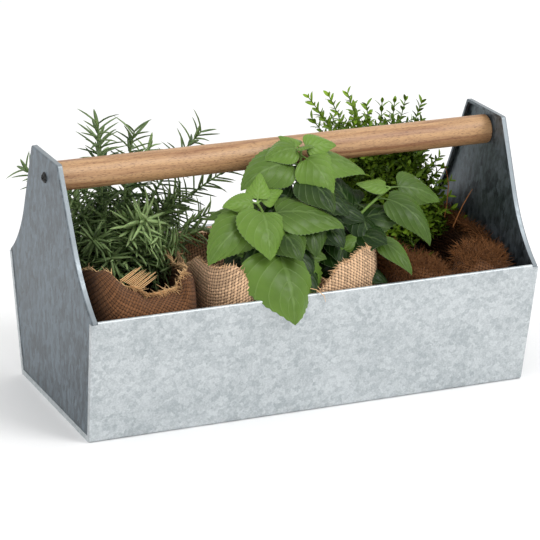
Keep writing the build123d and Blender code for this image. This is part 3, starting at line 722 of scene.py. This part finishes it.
def needle(growth, root, heading, along, length, width, curl, tone):
    """Rosemary needle: narrow, keeled below and curling away from the stem."""
    across = heading.cross(along).normalized()
    top = across.cross(heading).normalized()
    rings = []
    tones = []
    for share in NEEDLE_STATIONS:
        half = width / 2 * min(1.0, 0.45 + 4 * share) * (1 - share ** 5) + 0.05 * MM
        middle = root + heading * (length * share) - top * (curl * length * share ** 2)
        rings.append([middle + across * half, middle + top * (0.35 * half), middle - across * half,
                      middle - top * (0.6 * half)])
        tones += [tone, tone, tone, tone + 0.35]
    growth.strip(rings, tones)


def rosemary_sprig(growth, chance, shoot, spread_at_tip, long, gap):
    """One shoot set all round with needles, a little shorter towards its tip; their length and the gap from
    pair to pair are in mm."""
    shoot.stem(growth, 1.4 * MM, 0.7 * MM, 0.35)
    pairs = int(0.86 * shoot.length / (gap * MM))
    for i in range(pairs):
        t = NEEDLE_BARE_FOOT + (1 - NEEDLE_BARE_FOOT) * i / (pairs - 1)
        for face in (0, math.pi):
            turn = 1.35 * i + face + chance.uniform(-0.3, 0.3)
            spread = (NEEDLE_SPREAD + (spread_at_tip - NEEDLE_SPREAD) * t ** 5) * chance.uniform(0.75, 1.2)
            heading, along = shoot.out(t, turn, math.radians(spread))
            length = (long - 5 * t ** 4) * MM * chance.uniform(0.75, 1.08)
            tone = 0.15 + 0.55 * shoot.youth + 0.25 * (t - 0.5) + chance.uniform(-0.15, 0.15)
            curl = chance.uniform(0.05, 0.42)
            needle(growth, shoot.point(t), heading, along, length, NEEDLE_SLIMNESS * long * MM, curl, tone)


def rosemary_growth():
    growth = Growth()
    chance = random.Random(11)
    for shoot in shoots("rosemary", 1, ROSEMARY_SHOOTS):
        rosemary_sprig(growth, chance, shoot, spread_at_tip=42, long=26, gap=3.5)
    inner = low_shoots(chance, count=44, reach=72, lowest=-12, highest=64)
    for shoot in shoots("rosemary", 1, inner):
        rosemary_sprig(growth, chance, shoot, spread_at_tip=45, long=25, gap=3.6)
    for upright in shoots("rosemary", 1, ROSEMARY_FACING_SHOOTS):
        bent = Shoot(upright.foot, upright.tip, upright.youth, rise=0.95, lean=0.05)
        rosemary_sprig(growth, chance, bent, spread_at_tip=74, long=22 + 5 * bent.youth, gap=1.6)
    return growth


def low_shoots(chance, count, reach, lowest, highest):
    """Short shoots that fill the plant from the soil up: rows with their feet spread over the pot in a
    spiral, and their tips up to the given reach from its axis."""
    rows = []
    for i in range(count):
        turn = GOLDEN_ANGLE * i
        foot = 0.9 * math.sqrt((i + 0.5) / count)
        along, away = foot * math.sin(turn), foot * math.cos(turn)
        rows.append((along, away, reach * along, 43 + 29 * away, chance.uniform(lowest, highest),
                     chance.uniform(0.0, 0.35)))
    return rows


def leaflet(growth, root, heading, along, length, tone):
    """Thyme leaf: small, oval, folded along its middle."""
    width = LEAFLET_SLIMNESS * length
    across = heading.cross(along).normalized()
    top = across.cross(heading).normalized()
    rings = []
    for share, wide, lift in LEAFLET_OUTLINE:
        middle = root + heading * (length * share) - top * (0.15 * length * share ** 2)
        half = width / 2 * wide
        rings.append([middle + across * half + top * lift * width, middle - top * 0.05 * width,
                      middle - across * half + top * lift * width])
    growth.strip(rings, tone, closed=False)


def thyme_growth():
    growth = Growth()
    chance = random.Random(23)
    beside = []
    for along, away, reach, depth, height, youth in THYME_SHOOTS:
        reach += chance.uniform(-11, 11)
        depth += chance.uniform(-14, 14)
        height -= chance.uniform(4, 26)
        beside.append((along, -away, reach, depth, height, 0.5 * youth))
    inner = low_shoots(chance, count=44, reach=60, lowest=-8, highest=84)
    for shoot in shoots("thyme", 1, THYME_SHOOTS + beside + inner):
        shoot.stem(growth, 0.9 * MM, 0.45 * MM, 0.3, sides=5)
        pairs = max(2, int(0.86 * shoot.length / LEAFLET_GAP))
        for i in range(pairs):
            t = LEAFLET_BARE_FOOT + (1 - LEAFLET_BARE_FOOT) * i / (pairs - 1)
            for face in (0, math.pi):
                turn = math.pi / 2 * i + 0.4 + face + chance.uniform(-0.3, 0.3)
                tone = 0.1 + 0.3 * shoot.youth + 0.6 * shoot.youth * t ** 8 + chance.uniform(-0.1, 0.2)
                spread = math.radians((58 - 25 * t ** 6) * chance.uniform(0.8, 1.2))
                heading, along = shoot.out(t, turn, spread)
                length = chance.uniform(6.5, 9.5) * MM
                leaflet(growth, shoot.point(t), heading, along, length, tone)
                if 0.15 < t < 0.76:
                    thyme_twig(growth, chance, shoot, t, turn + 0.8, tone)
    return growth


def thyme_twig(growth, chance, shoot, t, turn, tone):
    """Short side twig with three pairs of leaves."""
    heading, along = shoot.out(t, turn, math.radians(48))
    reach = chance.uniform(9, 16) * MM
    root = shoot.point(t)
    tip = root + heading * reach + along * (0.3 * reach)
    middle = (root + tip) / 2 - along * (0.05 * reach)
    growth.tube([root, middle, tip], [0.5 * MM, 0.4 * MM, 0.3 * MM], 4, 0.3)
    twig = Shoot(root, tip, shoot.youth)
    for share in (0.45, 0.75, 1.0):
        for face in (0, math.pi):
            out, way = twig.out(share, face + 2.1 * share * math.pi, math.radians(62 - 25 * share))
            length = chance.uniform(5.0, 7.5) * MM
            leaflet(growth, twig.point(share), out, way, length, tone + chance.uniform(-0.05, 0.2))


def mint_leaf(growth, root, heading, rise, bend, length, width, tone, roll):
    """Broad leaf on its stalk: ovate, toothed, folded along the midrib, puffed up between its veins, and
    bending down along an arc. It has an upper and a lower skin."""
    turn, start, total = (math.radians(value) for value in (heading, rise, bend))
    level = Vector((math.cos(turn), math.sin(turn), 0))
    side = Vector((-math.sin(turn), math.cos(turn), 0))

    def spine(share):
        slope = start - total * share
        run = length / total * (math.sin(start) - math.sin(slope))
        climb = length / total * (math.cos(slope) - math.cos(start))
        normal = level * -math.sin(slope) + Vector((0, 0, math.cos(slope)))
        return root + level * run + Vector((0, 0, climb)), normal

    stalk = [spine(LEAF_STALK_END * i / 4 * 1.3)[0] for i in range(5)]
    growth.tube(stalk, [1.1 * MM, 0.9 * MM, 0.8 * MM, 0.7 * MM, 0.6 * MM], 6, tone + 0.1)
    upper, lower, flat, tones = [], [], [], []
    for i in range(LEAF_STATIONS):
        v = i / (LEAF_STATIONS - 1)
        half = width / 2 * max(0.0, math.sin(math.pi * v ** 0.58)) ** 0.9 * (1.08 - 0.12 * v)
        tooth = 0.045 if i % 2 and 2 < i < LEAF_STATIONS - 3 else 0.0
        rows = [[], []]
        for k in range(LEAF_LANES):
            u = 2 * k / (LEAF_LANES - 1) - 1
            reach = half * (1 + tooth) if abs(u) == 1 else half
            shift = 0.4 / LEAF_STATIONS if tooth and abs(u) == 1 else 0
            ears = 0.05 * abs(u) * (1 - v) * half / width * 4
            share = LEAF_STALK_END + (1 - LEAF_STALK_END) * (v + shift - ears)
            middle, normal = spine(share)
            across = side * math.cos(roll) + normal * math.sin(roll)
            top = normal * math.cos(roll) - side * math.sin(roll)
            crown = 0.07 * width * abs(u) - 0.24 * width * u * u * math.sin(math.pi * v)
            beat = VEIN_PAIRS * (v - VEIN_SWEEP * abs(u) ** VEIN_BOW)
            puff = 0.018 * width * (1 - math.cos(math.tau * beat)) * (1 - u * u) * math.sin(math.pi * v)
            point = middle + across * (u * reach) + top * ((crown + puff) * min(1.0, half / (0.2 * width)))
            rows[0].append(point)
            rows[1].append(point - top * LEAF_SKIN)
            flat.append((0.5 + 0.5 * u, v))
            tones.append(tone + 0.16 * abs(u) + 0.12 * v)
        upper.append(rows[0])
        lower.append(rows[1])
    growth.strip(upper, tones, closed=False, flat=flat)
    growth.strip(lower, tones, closed=False, flat=flat, under=[1.0] * len(flat))


def mint_growth():
    growth = Growth()
    chance = random.Random(5)
    stems = shoots("mint", -1, MINT_SHOOTS)
    stems += [place_shoot("mint", -1, row, FRONT_RIM - row[3] * MM) for row in MINT_FRONT_SHOOTS]
    for shoot in stems:
        shoot.stem(growth, 1.9 * MM, 1.2 * MM, 0.75)
    for row in MINT_LEAVES + MINT_INNER_LEAVES:
        index, place, heading, rise, bend, length, width = row
        shoot = stems[index]
        # Leaves lower on their shoot are darker and small leaves paler; inner leaves are darkened further as
        # painted shade
        tone = 0.05 + 0.55 * shoot.youth + 1.2 * (place - 0.9) + (0.25 if length < 31 else 0)
        tone += chance.uniform(-0.2, 0.06) - (0.3 if row in MINT_INNER_LEAVES else 0)
        roll = 38 * math.cos(math.radians(heading)) + chance.uniform(-12, 12)
        mint_leaf(growth, shoot.point(place), heading, rise, bend, LEAF_LENGTHENING * length * MM,
                  LEAF_WIDENING * width * MM, tone, math.radians(roll))
    return growth


def eased(start, end, share):
    """Smooth change from start to end as the share goes from 0 to 1, and level outside."""
    share = min(max(share, 0), 1)
    return start + (end - start) * share * share * (3 - 2 * share)


def sack_edge(herb, place):
    """Height of the burlap's edge in mm: uneven along the front, and one level towards the back."""
    points = SACK_FRONTS[herb]
    front = points[0][1]
    for (x, _), (next_x, height) in zip(points, points[1:]):
        front = eased(front, height, (place.x - x) / (next_x - x))
    return RIM_HEIGHT / MM + eased(front, SACK_BACK_EDGE, (place.y + SACK_EDGE_FALL) / SACK_EDGE_FALL)


def sack_plan(herb, square, middle, depth, inset):
    """Place in the sack's share of the trough, whose sides slant from front to back."""
    y = middle + depth * square.y
    back = (1 + y / SACK_HALF_DEPTH) / 2
    (left, left_back), (right, right_back) = SACK_SIDES[herb]
    start = left + (left_back - left) * back + inset
    end = right + (right_back - right) * back - inset
    return Vector((start + (end - start) * (1 + square.x) / 2, y, 0))


def sack_profile(herb, turn):
    """Points of the burlap in one direction, in metres: from under the pot out to the trough's wall, up over
    the rim and in to the edge."""
    low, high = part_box(herb + "_pot")
    axis = (low + high) / (2 * MM)
    side = math.copysign(1, axis.y)
    out = Vector((math.cos(turn), math.sin(turn), 0))
    power = abs(out.x) ** SACK_SQUARENESS + abs(out.y) ** SACK_SQUARENESS
    square = out / power ** (1 / SACK_SQUARENESS)
    foot = Vector((axis.x, axis.y, 0)) + out * (FOOT_RADIUS + SACK_PLAY)
    foot.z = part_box(herb + "_wrap")[0].z / MM
    belly = sack_plan(herb, square, 0, SACK_BELLY_DEPTH, 0)
    belly.z = SACK_BELLY_HEIGHT
    wall = sack_plan(herb, square, 0, SACK_HALF_DEPTH, 0)
    wall.z = RIM_HEIGHT / MM - SACK_WALL_TUCK
    pot_side = abs(axis.y) + (high.x - low.x) / (2 * MM) + SACK_PLAY
    free_side = SACK_HALF_DEPTH - SACK_MOUTH_LEAN
    middle = side * (pot_side - free_side) / 2
    mouth = sack_plan(herb, square, middle, (pot_side + free_side) / 2, SACK_MOUTH_INSET)
    mouth.z = sack_edge(herb, mouth)
    points = [foot, foot.lerp(belly, 0.5), belly, belly.lerp(wall, 0.35), belly.lerp(wall, 0.7)]
    for i in range(STANDING_LEVELS):
        share = i / (STANDING_LEVELS - 1)
        point = wall.lerp(mouth, share ** 2)
        point.z = wall.z + (mouth.z - wall.z) * (1 - (1 - share) ** 2)
        points.append(point)
    return [point * MM for point in points]


def burlap_sack(herb):
    """Burlap square drawn up round a pot: creases run up to the edge, which is left frayed."""
    profiles = [sack_profile(herb, math.tau * i / SACK_POINTS) for i in range(SACK_POINTS)]
    levels = list(zip(*profiles))
    rings = []
    for number, ring in enumerate(levels):
        loose = max(0.0, (number - WALL_LEVEL - 2) / (STANDING_LEVELS - 3))
        made = []
        for i, point in enumerate(ring):
            ahead = ring[(i + 1) % SACK_POINTS] - ring[i - 1]
            climb = profiles[i][min(number + 1, len(levels) - 1)] - profiles[i][max(number - 1, 0)]
            normal = ahead.cross(climb).normalized()
            level = Vector((point.x, point.y, 0.35 * point.z))
            crease = noise.noise(level * 45 + Vector((7, 3, 1))) + 0.5 * noise.noise(level * 110)
            made.append(point + normal * (CREASE_DEPTH * loose * crease))
        rings.append(made)
    wall = rings[WALL_LEVEL]
    steps = [(wall[(i + 1) % SACK_POINTS] - wall[i]).length for i in range(SACK_POINTS)]
    around = [sum(steps[:i]) for i in range(SACK_POINTS + 1)]
    turn = Matrix.Rotation(math.radians(SACK_BIAS[herb]), 2)
    travel = [0.0] * (SACK_POINTS + 1)
    flat = []
    closed = [ring + ring[:1] for ring in rings]
    for number, ring in enumerate(closed):
        if number:
            travel = [gone + (b - a).length for gone, a, b in zip(travel, closed[number - 1], ring)]
        flat += [tuple(turn @ Vector((place, gone))) for place, gone in zip(around, travel)]
    growth = Growth()
    growth.strip(closed, 0.5, closed=False, flat=flat)
    growth.faces.append(tuple(reversed(range(SACK_POINTS))))
    return growth, rings


def strand(growth, chance, root, heading, length, radius, tone, droop=0.25, wander=0.35):
    """One loose jute strand, tapering and wandering to its end."""
    side = Vector((chance.uniform(-1, 1), chance.uniform(-1, 1), chance.uniform(-1, 1))) * wander
    points = [root]
    way = heading.copy()
    for _ in range(4):
        way = (way + side * 0.5 + Vector((0, 0, -droop * 0.5))).normalized()
        points.append(points[-1] + way * (length / 4))
    growth.tube(points, [radius, radius, 0.85 * radius, 0.6 * radius, 0.25 * radius], 3, tone)


def burlap_fringe(herb, rings):
    """Threads that stand at the cut edge, and the long or matted ones that are only on one of the sacks."""
    growth = Growth()
    chance = random.Random(herb)
    shortest, longest, spacing = SACK_FRINGES[herb]
    edge, below = rings[-1], rings[-3]
    for i in range(SACK_POINTS):
        root, following = edge[i], edge[(i + 1) % SACK_POINTS]
        heading = (root - below[i]).normalized()
        count = max(1, round((following - root).length / (spacing * MM)))
        for k in range(count):
            place = root.lerp(following, (k + chance.random()) / count)
            way = (heading + Vector([chance.uniform(-0.35, 0.35) for _ in range(3)])).normalized()
            length = chance.uniform(shortest, longest) * MM
            strand(growth, chance, place - heading * 2 * MM, way, length + 2 * MM,
                   chance.uniform(0.25, 0.6) * MM, chance.uniform(0.15, 1.0))
    for points in LOOSE_THREADS[herb]:
        places = [Vector(point) * MM for point in points]
        growth.tube(places, [0.45 * MM, 0.45 * MM, 0.4 * MM, 0.35 * MM, 0.2 * MM], 4, 0.9)
    if herb == "rosemary":
        straw_patch(growth, chance)
        fallen_fringe(growth, chance, edge)
    if herb == "thyme":
        matted_fur(growth, chance, rings)
    return growth


def straw_patch(growth, chance):
    """Threads of one direction left lying side by side where the cross threads have gone."""
    for k in range(STRAW_COUNT):
        root = STRAW_ROOTS[0].lerp(STRAW_ROOTS[1], k / (STRAW_COUNT - 1)) * MM
        way = STRAW_WAY + Vector((0, 0, chance.uniform(-0.03, 0.03)))
        length = STRAW_LENGTH * chance.uniform(0.85, 1.1) * MM
        strand(growth, chance, root, way.normalized(), length, 0.6 * MM, chance.uniform(0.8, 1.0),
               droop=0.0, wander=0.02)


def fallen_fringe(growth, chance, edge):
    """Threads of the front edge that have fallen outwards over the cloth."""
    for i in range(SACK_POINTS):
        if edge[i].y > 0 or not FALLEN_FRINGE[0] < edge[i].x / MM < FALLEN_FRINGE[1]:
            continue
        for _ in range(5):
            place = edge[i].lerp(edge[(i + 1) % SACK_POINTS], chance.random()) + Vector((0, 0, 0.6 * MM))
            way = Vector((chance.uniform(-0.2, 0.7), -1, chance.uniform(0.0, 0.35)))
            strand(growth, chance, place, way.normalized(), chance.uniform(6, 13) * MM, 0.4 * MM,
                   chance.uniform(0.4, 1.0), droop=0.2, wander=0.3)


def matted_fur(growth, chance, rings):
    """Teased-out fibres that lie over the part of the cloth above the trough's rim."""
    for _ in range(FUR_COUNT):
        number = chance.randrange(WALL_LEVEL + 2, len(rings) - 1)
        i = chance.randrange(SACK_POINTS)
        root = rings[number][i].lerp(rings[number + 1][i], chance.random())
        climb = (rings[number + 1][i] - rings[number][i]).normalized()
        ahead = (rings[number][(i + 1) % SACK_POINTS] - rings[number][i]).normalized()
        normal = ahead.cross(climb)
        way = climb * chance.uniform(-0.4, 1) + ahead * chance.uniform(-0.6, 0.6) + normal * 0.3
        length = chance.uniform(6, 13) * MM
        if root.z > RIM_HEIGHT - 2 * MM and abs(root.y) < (SACK_HALF_DEPTH - 3) * MM:
            tone = chance.uniform(0.0, 0.25)
            strand(growth, chance, root, way.normalized(), length, FUR_RADIUS, tone, droop=0.05)


# Operators

def dress(material, *nodes):
    """Gives CAD nodes a material."""
    for name in nodes:
        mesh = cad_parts[name].data
        mesh.materials.clear()
        mesh.materials.append(material)


class PLANTER_OT_box(bpy.types.Operator):
    """Finish the trough and the end panels in galvanised sheet"""
    bl_idname = "planter.box"
    bl_label = "Galvanised box"

    def execute(self, context):
        box = context.scene.planter_box
        spangled = galvanised_sheet("galvanised_sheet_trough", box.front_zinc, box.front_shade, box.spangle,
                                    stretch=1.0, contrast=0.3, fineness=2.6)
        # The end panels take a darker copy of the zinc: painted shade
        streaked = galvanised_sheet("galvanised_sheet_ends", box.end_zinc_shaded, box.end_ground_shaded, box.streak,
                                    stretch=2.0, contrast=0.4, fineness=1.6, edge=box.end_edge_highlight)
        dress(spangled, "trough")
        dress(streaked, "left_end_panel", "right_end_panel")
        return {"FINISHED"}


class PLANTER_OT_handle(bpy.types.Operator):
    """Finish the wooden handle and its two screws"""
    bl_idname = "planter.handle"
    bl_label = "Handle"

    def execute(self, context):
        dress(oiled_hardwood(context.scene.planter_handle), "handle_dowel")
        dress(blackened_steel(context.scene.planter_handle), "handle_screws")
        return {"FINISHED"}


class PLANTER_OT_pots(bpy.types.Operator):
    """Finish the three nursery pots and their soil"""
    bl_idname = "planter.pots"
    bl_label = "Pots and soil"

    def execute(self, context):
        dress(moulded_polypropylene(context.scene.planter_pots), *[herb + "_pot" for herb in HERBS])
        dress(potting_soil(context.scene.planter_pots), *[herb + "_soil" for herb in HERBS])
        return {"FINISHED"}


def plant(herb, growth, material):
    """Puts a plant in place of its solid and lets it move with its pot."""
    made = growth.piece(herb + "_foliage", material)
    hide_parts(herb + "_plant")
    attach(made, herb)


class PLANTER_OT_rosemary(bpy.types.Operator):
    """Grow the rosemary"""
    bl_idname = "planter.rosemary"
    bl_label = "Rosemary"

    def execute(self, context):
        herbs = context.scene.planter_herbs
        skin = leaf_skin("rosemary_needles", herbs.rosemary_old, herbs.rosemary_young,
                         patch=8 * MM, rough=0.5)
        plant("rosemary", rosemary_growth(), skin)
        return {"FINISHED"}


class PLANTER_OT_mint(bpy.types.Operator):
    """Grow the mint"""
    bl_idname = "planter.mint"
    bl_label = "Mint"

    def execute(self, context):
        herbs = context.scene.planter_herbs
        skin = leaf_skin("mint_leaves", herbs.mint_old_and_shaded, herbs.mint_young, patch=18 * MM, rough=0.38,
                         vein=herbs.mint_vein, under=herbs.mint_under)
        plant("mint", mint_growth(), skin)
        return {"FINISHED"}


class PLANTER_OT_thyme(bpy.types.Operator):
    """Grow the thyme"""
    bl_idname = "planter.thyme"
    bl_label = "Thyme"

    def execute(self, context):
        herbs = context.scene.planter_herbs
        skin = leaf_skin("thyme_leaves", herbs.thyme_old, herbs.thyme_young, patch=5 * MM, rough=0.4)
        plant("thyme", thyme_growth(), skin)
        return {"FINISHED"}


class PLANTER_OT_burlap(bpy.types.Operator):
    """Draw up the burlap round the three pots and fray its edges"""
    bl_idname = "planter.burlap"
    bl_label = "Burlap"

    def execute(self, context):
        settings = context.scene.planter_burlap
        weaves = {}
        for shade in ("dark", "light"):
            weaves[shade] = woven_jute("woven_jute_" + shade, list(getattr(settings, shade)), settings)
        for herb in HERBS:
            shade = "light" if herb == "mint" else "dark"
            fibre = jute_fibre("jute_fibre_" + herb, list(getattr(settings, herb + "_fray")))
            growth, rings = burlap_sack(herb)
            sack = growth.piece(herb + "_burlap", weaves[shade], "cloth")
            fringe = burlap_fringe(herb, rings).piece(herb + "_fringe", fibre)
            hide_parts(herb + "_wrap")
            for made in (sack, fringe):
                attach(made, "box")
        return {"FINISHED"}


def camera():
    """Camera at the photograph's viewing angle."""
    azimuth, elevation, roll = (math.radians(angle) for angle in CAMERA_ANGLES)
    back = Vector((math.sin(azimuth) * math.cos(elevation), -math.cos(azimuth) * math.cos(elevation),
                   math.sin(elevation)))
    level = Vector((0, 0, 1)).cross(back).normalized()
    upright = back.cross(level)
    right = level * math.cos(roll) + upright * math.sin(roll)
    up = upright * math.cos(roll) - level * math.sin(roll)
    eye = CAMERA_TARGET + back * CAMERA_DISTANCE + right * CAMERA_OFFSET[0] + up * CAMERA_OFFSET[1]
    data = bpy.data.cameras.new("camera")
    data.sensor_width = 36
    data.lens = FOCAL_PIXELS / IMAGE_SIZE * data.sensor_width
    made = bpy.data.objects.new("camera", data)
    made.matrix_world = Matrix.Translation(eye) @ Matrix((right, up, back)).transposed().to_4x4()
    bpy.context.scene.collection.objects.link(made)
    bpy.context.scene.camera = made


def soft_lamp(name, place, power):
    """Square soft box aimed at the middle of the planter."""
    data = bpy.data.lights.new(name, "AREA")
    data.shape = "SQUARE"
    data.size = LAMP_WIDTH
    data.energy = power
    made = bpy.data.objects.new(name, data)
    made.location = place
    made.rotation_euler = (CAMERA_TARGET - Vector(place)).to_track_quat("-Z", "Y").to_euler()
    bpy.context.scene.collection.objects.link(made)


def studio_floor(settings):
    """Matt white studio floor, seen as the white background except where the planter shades it."""
    material, tree, shader = new_material("matt_studio_floor")
    place = add(tree, "TexCoord", out="Object")
    grain = add(tree, "TexNoise", {"Vector": place, "Scale": 40, "Detail": 2})
    finish_surface(tree, shader, settings.floor, 0.9, grain, 0.1 * MM, 0.05)
    return material


class PLANTER_OT_stage(bpy.types.Operator):
    """Set up the floor, the soft lamps, the white surroundings and the camera"""
    bl_idname = "planter.stage"
    bl_label = "Studio"

    def execute(self, context):
        settings = context.scene.planter_stage
        mesh = bpy.data.meshes.new("studio_floor")
        corners = [(FLOOR_REACH * x, FLOOR_REACH * y, 0) for x, y in ((-1, -1), (1, -1), (1, 1), (-1, 1))]
        mesh.from_pydata(corners, [], [(0, 1, 2, 3)])
        mesh.materials.append(studio_floor(settings))
        floor = bpy.data.objects.new("studio_floor", mesh)
        context.scene.collection.objects.link(floor)
        soft_lamp("key_lamp", KEY_PLACE, settings.key)
        soft_lamp("fill_lamp", FILL_PLACE, settings.fill)
        world = bpy.data.worlds.new("white_surroundings")
        world.use_nodes = True
        tree = world.node_tree
        rays = add(tree, "LightPath").node.outputs
        seen = add(tree, "Math", [rays["Is Camera Ray"], rays["Is Glossy Ray"]], operation="MAXIMUM")
        seen = add(tree, "Math", [seen, rays["Is Transmission Ray"]], operation="MAXIMUM")
        strength = add(tree, "MapRange", {"Value": seen, "To Min": settings.world, "To Max": 1.0})
        tree.nodes["Background"].inputs["Color"].default_value = WHITE
        tree.links.new(strength, tree.nodes["Background"].inputs["Strength"])
        context.scene.world = world
        context.scene.view_settings.view_transform = "Standard"
        camera()
        return {"FINISHED"}


OPERATORS = [PLANTER_OT_box, PLANTER_OT_handle, PLANTER_OT_pots, PLANTER_OT_rosemary, PLANTER_OT_mint,
             PLANTER_OT_thyme, PLANTER_OT_burlap, PLANTER_OT_stage]


class PLANTER_PT_sidebar(bpy.types.Panel):
    """Steps and settings of the planter"""
    bl_idname = "PLANTER_PT_sidebar"
    bl_label = "Herb planter"
    bl_space_type = "VIEW_3D"
    bl_region_type = "UI"
    bl_category = "Planter"

    def draw(self, context):
        for step in OPERATORS:
            self.layout.operator(step.bl_idname)
        for attribute, group in SETTINGS.items():
            column = self.layout.column(align=True)
            for name in group.__annotations__:
                column.prop(getattr(context.scene, attribute), name)


def register():
    for group in [*SETTINGS.values(), *OPERATORS, PLANTER_PT_sidebar]:
        bpy.utils.register_class(group)
    for attribute, group in SETTINGS.items():
        setattr(bpy.types.Scene, attribute, PointerProperty(type=group))


def unregister():
    for attribute in SETTINGS:
        delattr(bpy.types.Scene, attribute)
    for group in [PLANTER_PT_sidebar, *reversed(OPERATORS), *SETTINGS.values()]:
        bpy.utils.unregister_class(group)


def main():
    register()
    for step in OPERATORS:
        area, name = step.bl_idname.split(".")
        getattr(getattr(bpy.ops, area), name)()


if __name__ == "__main__":
    main()
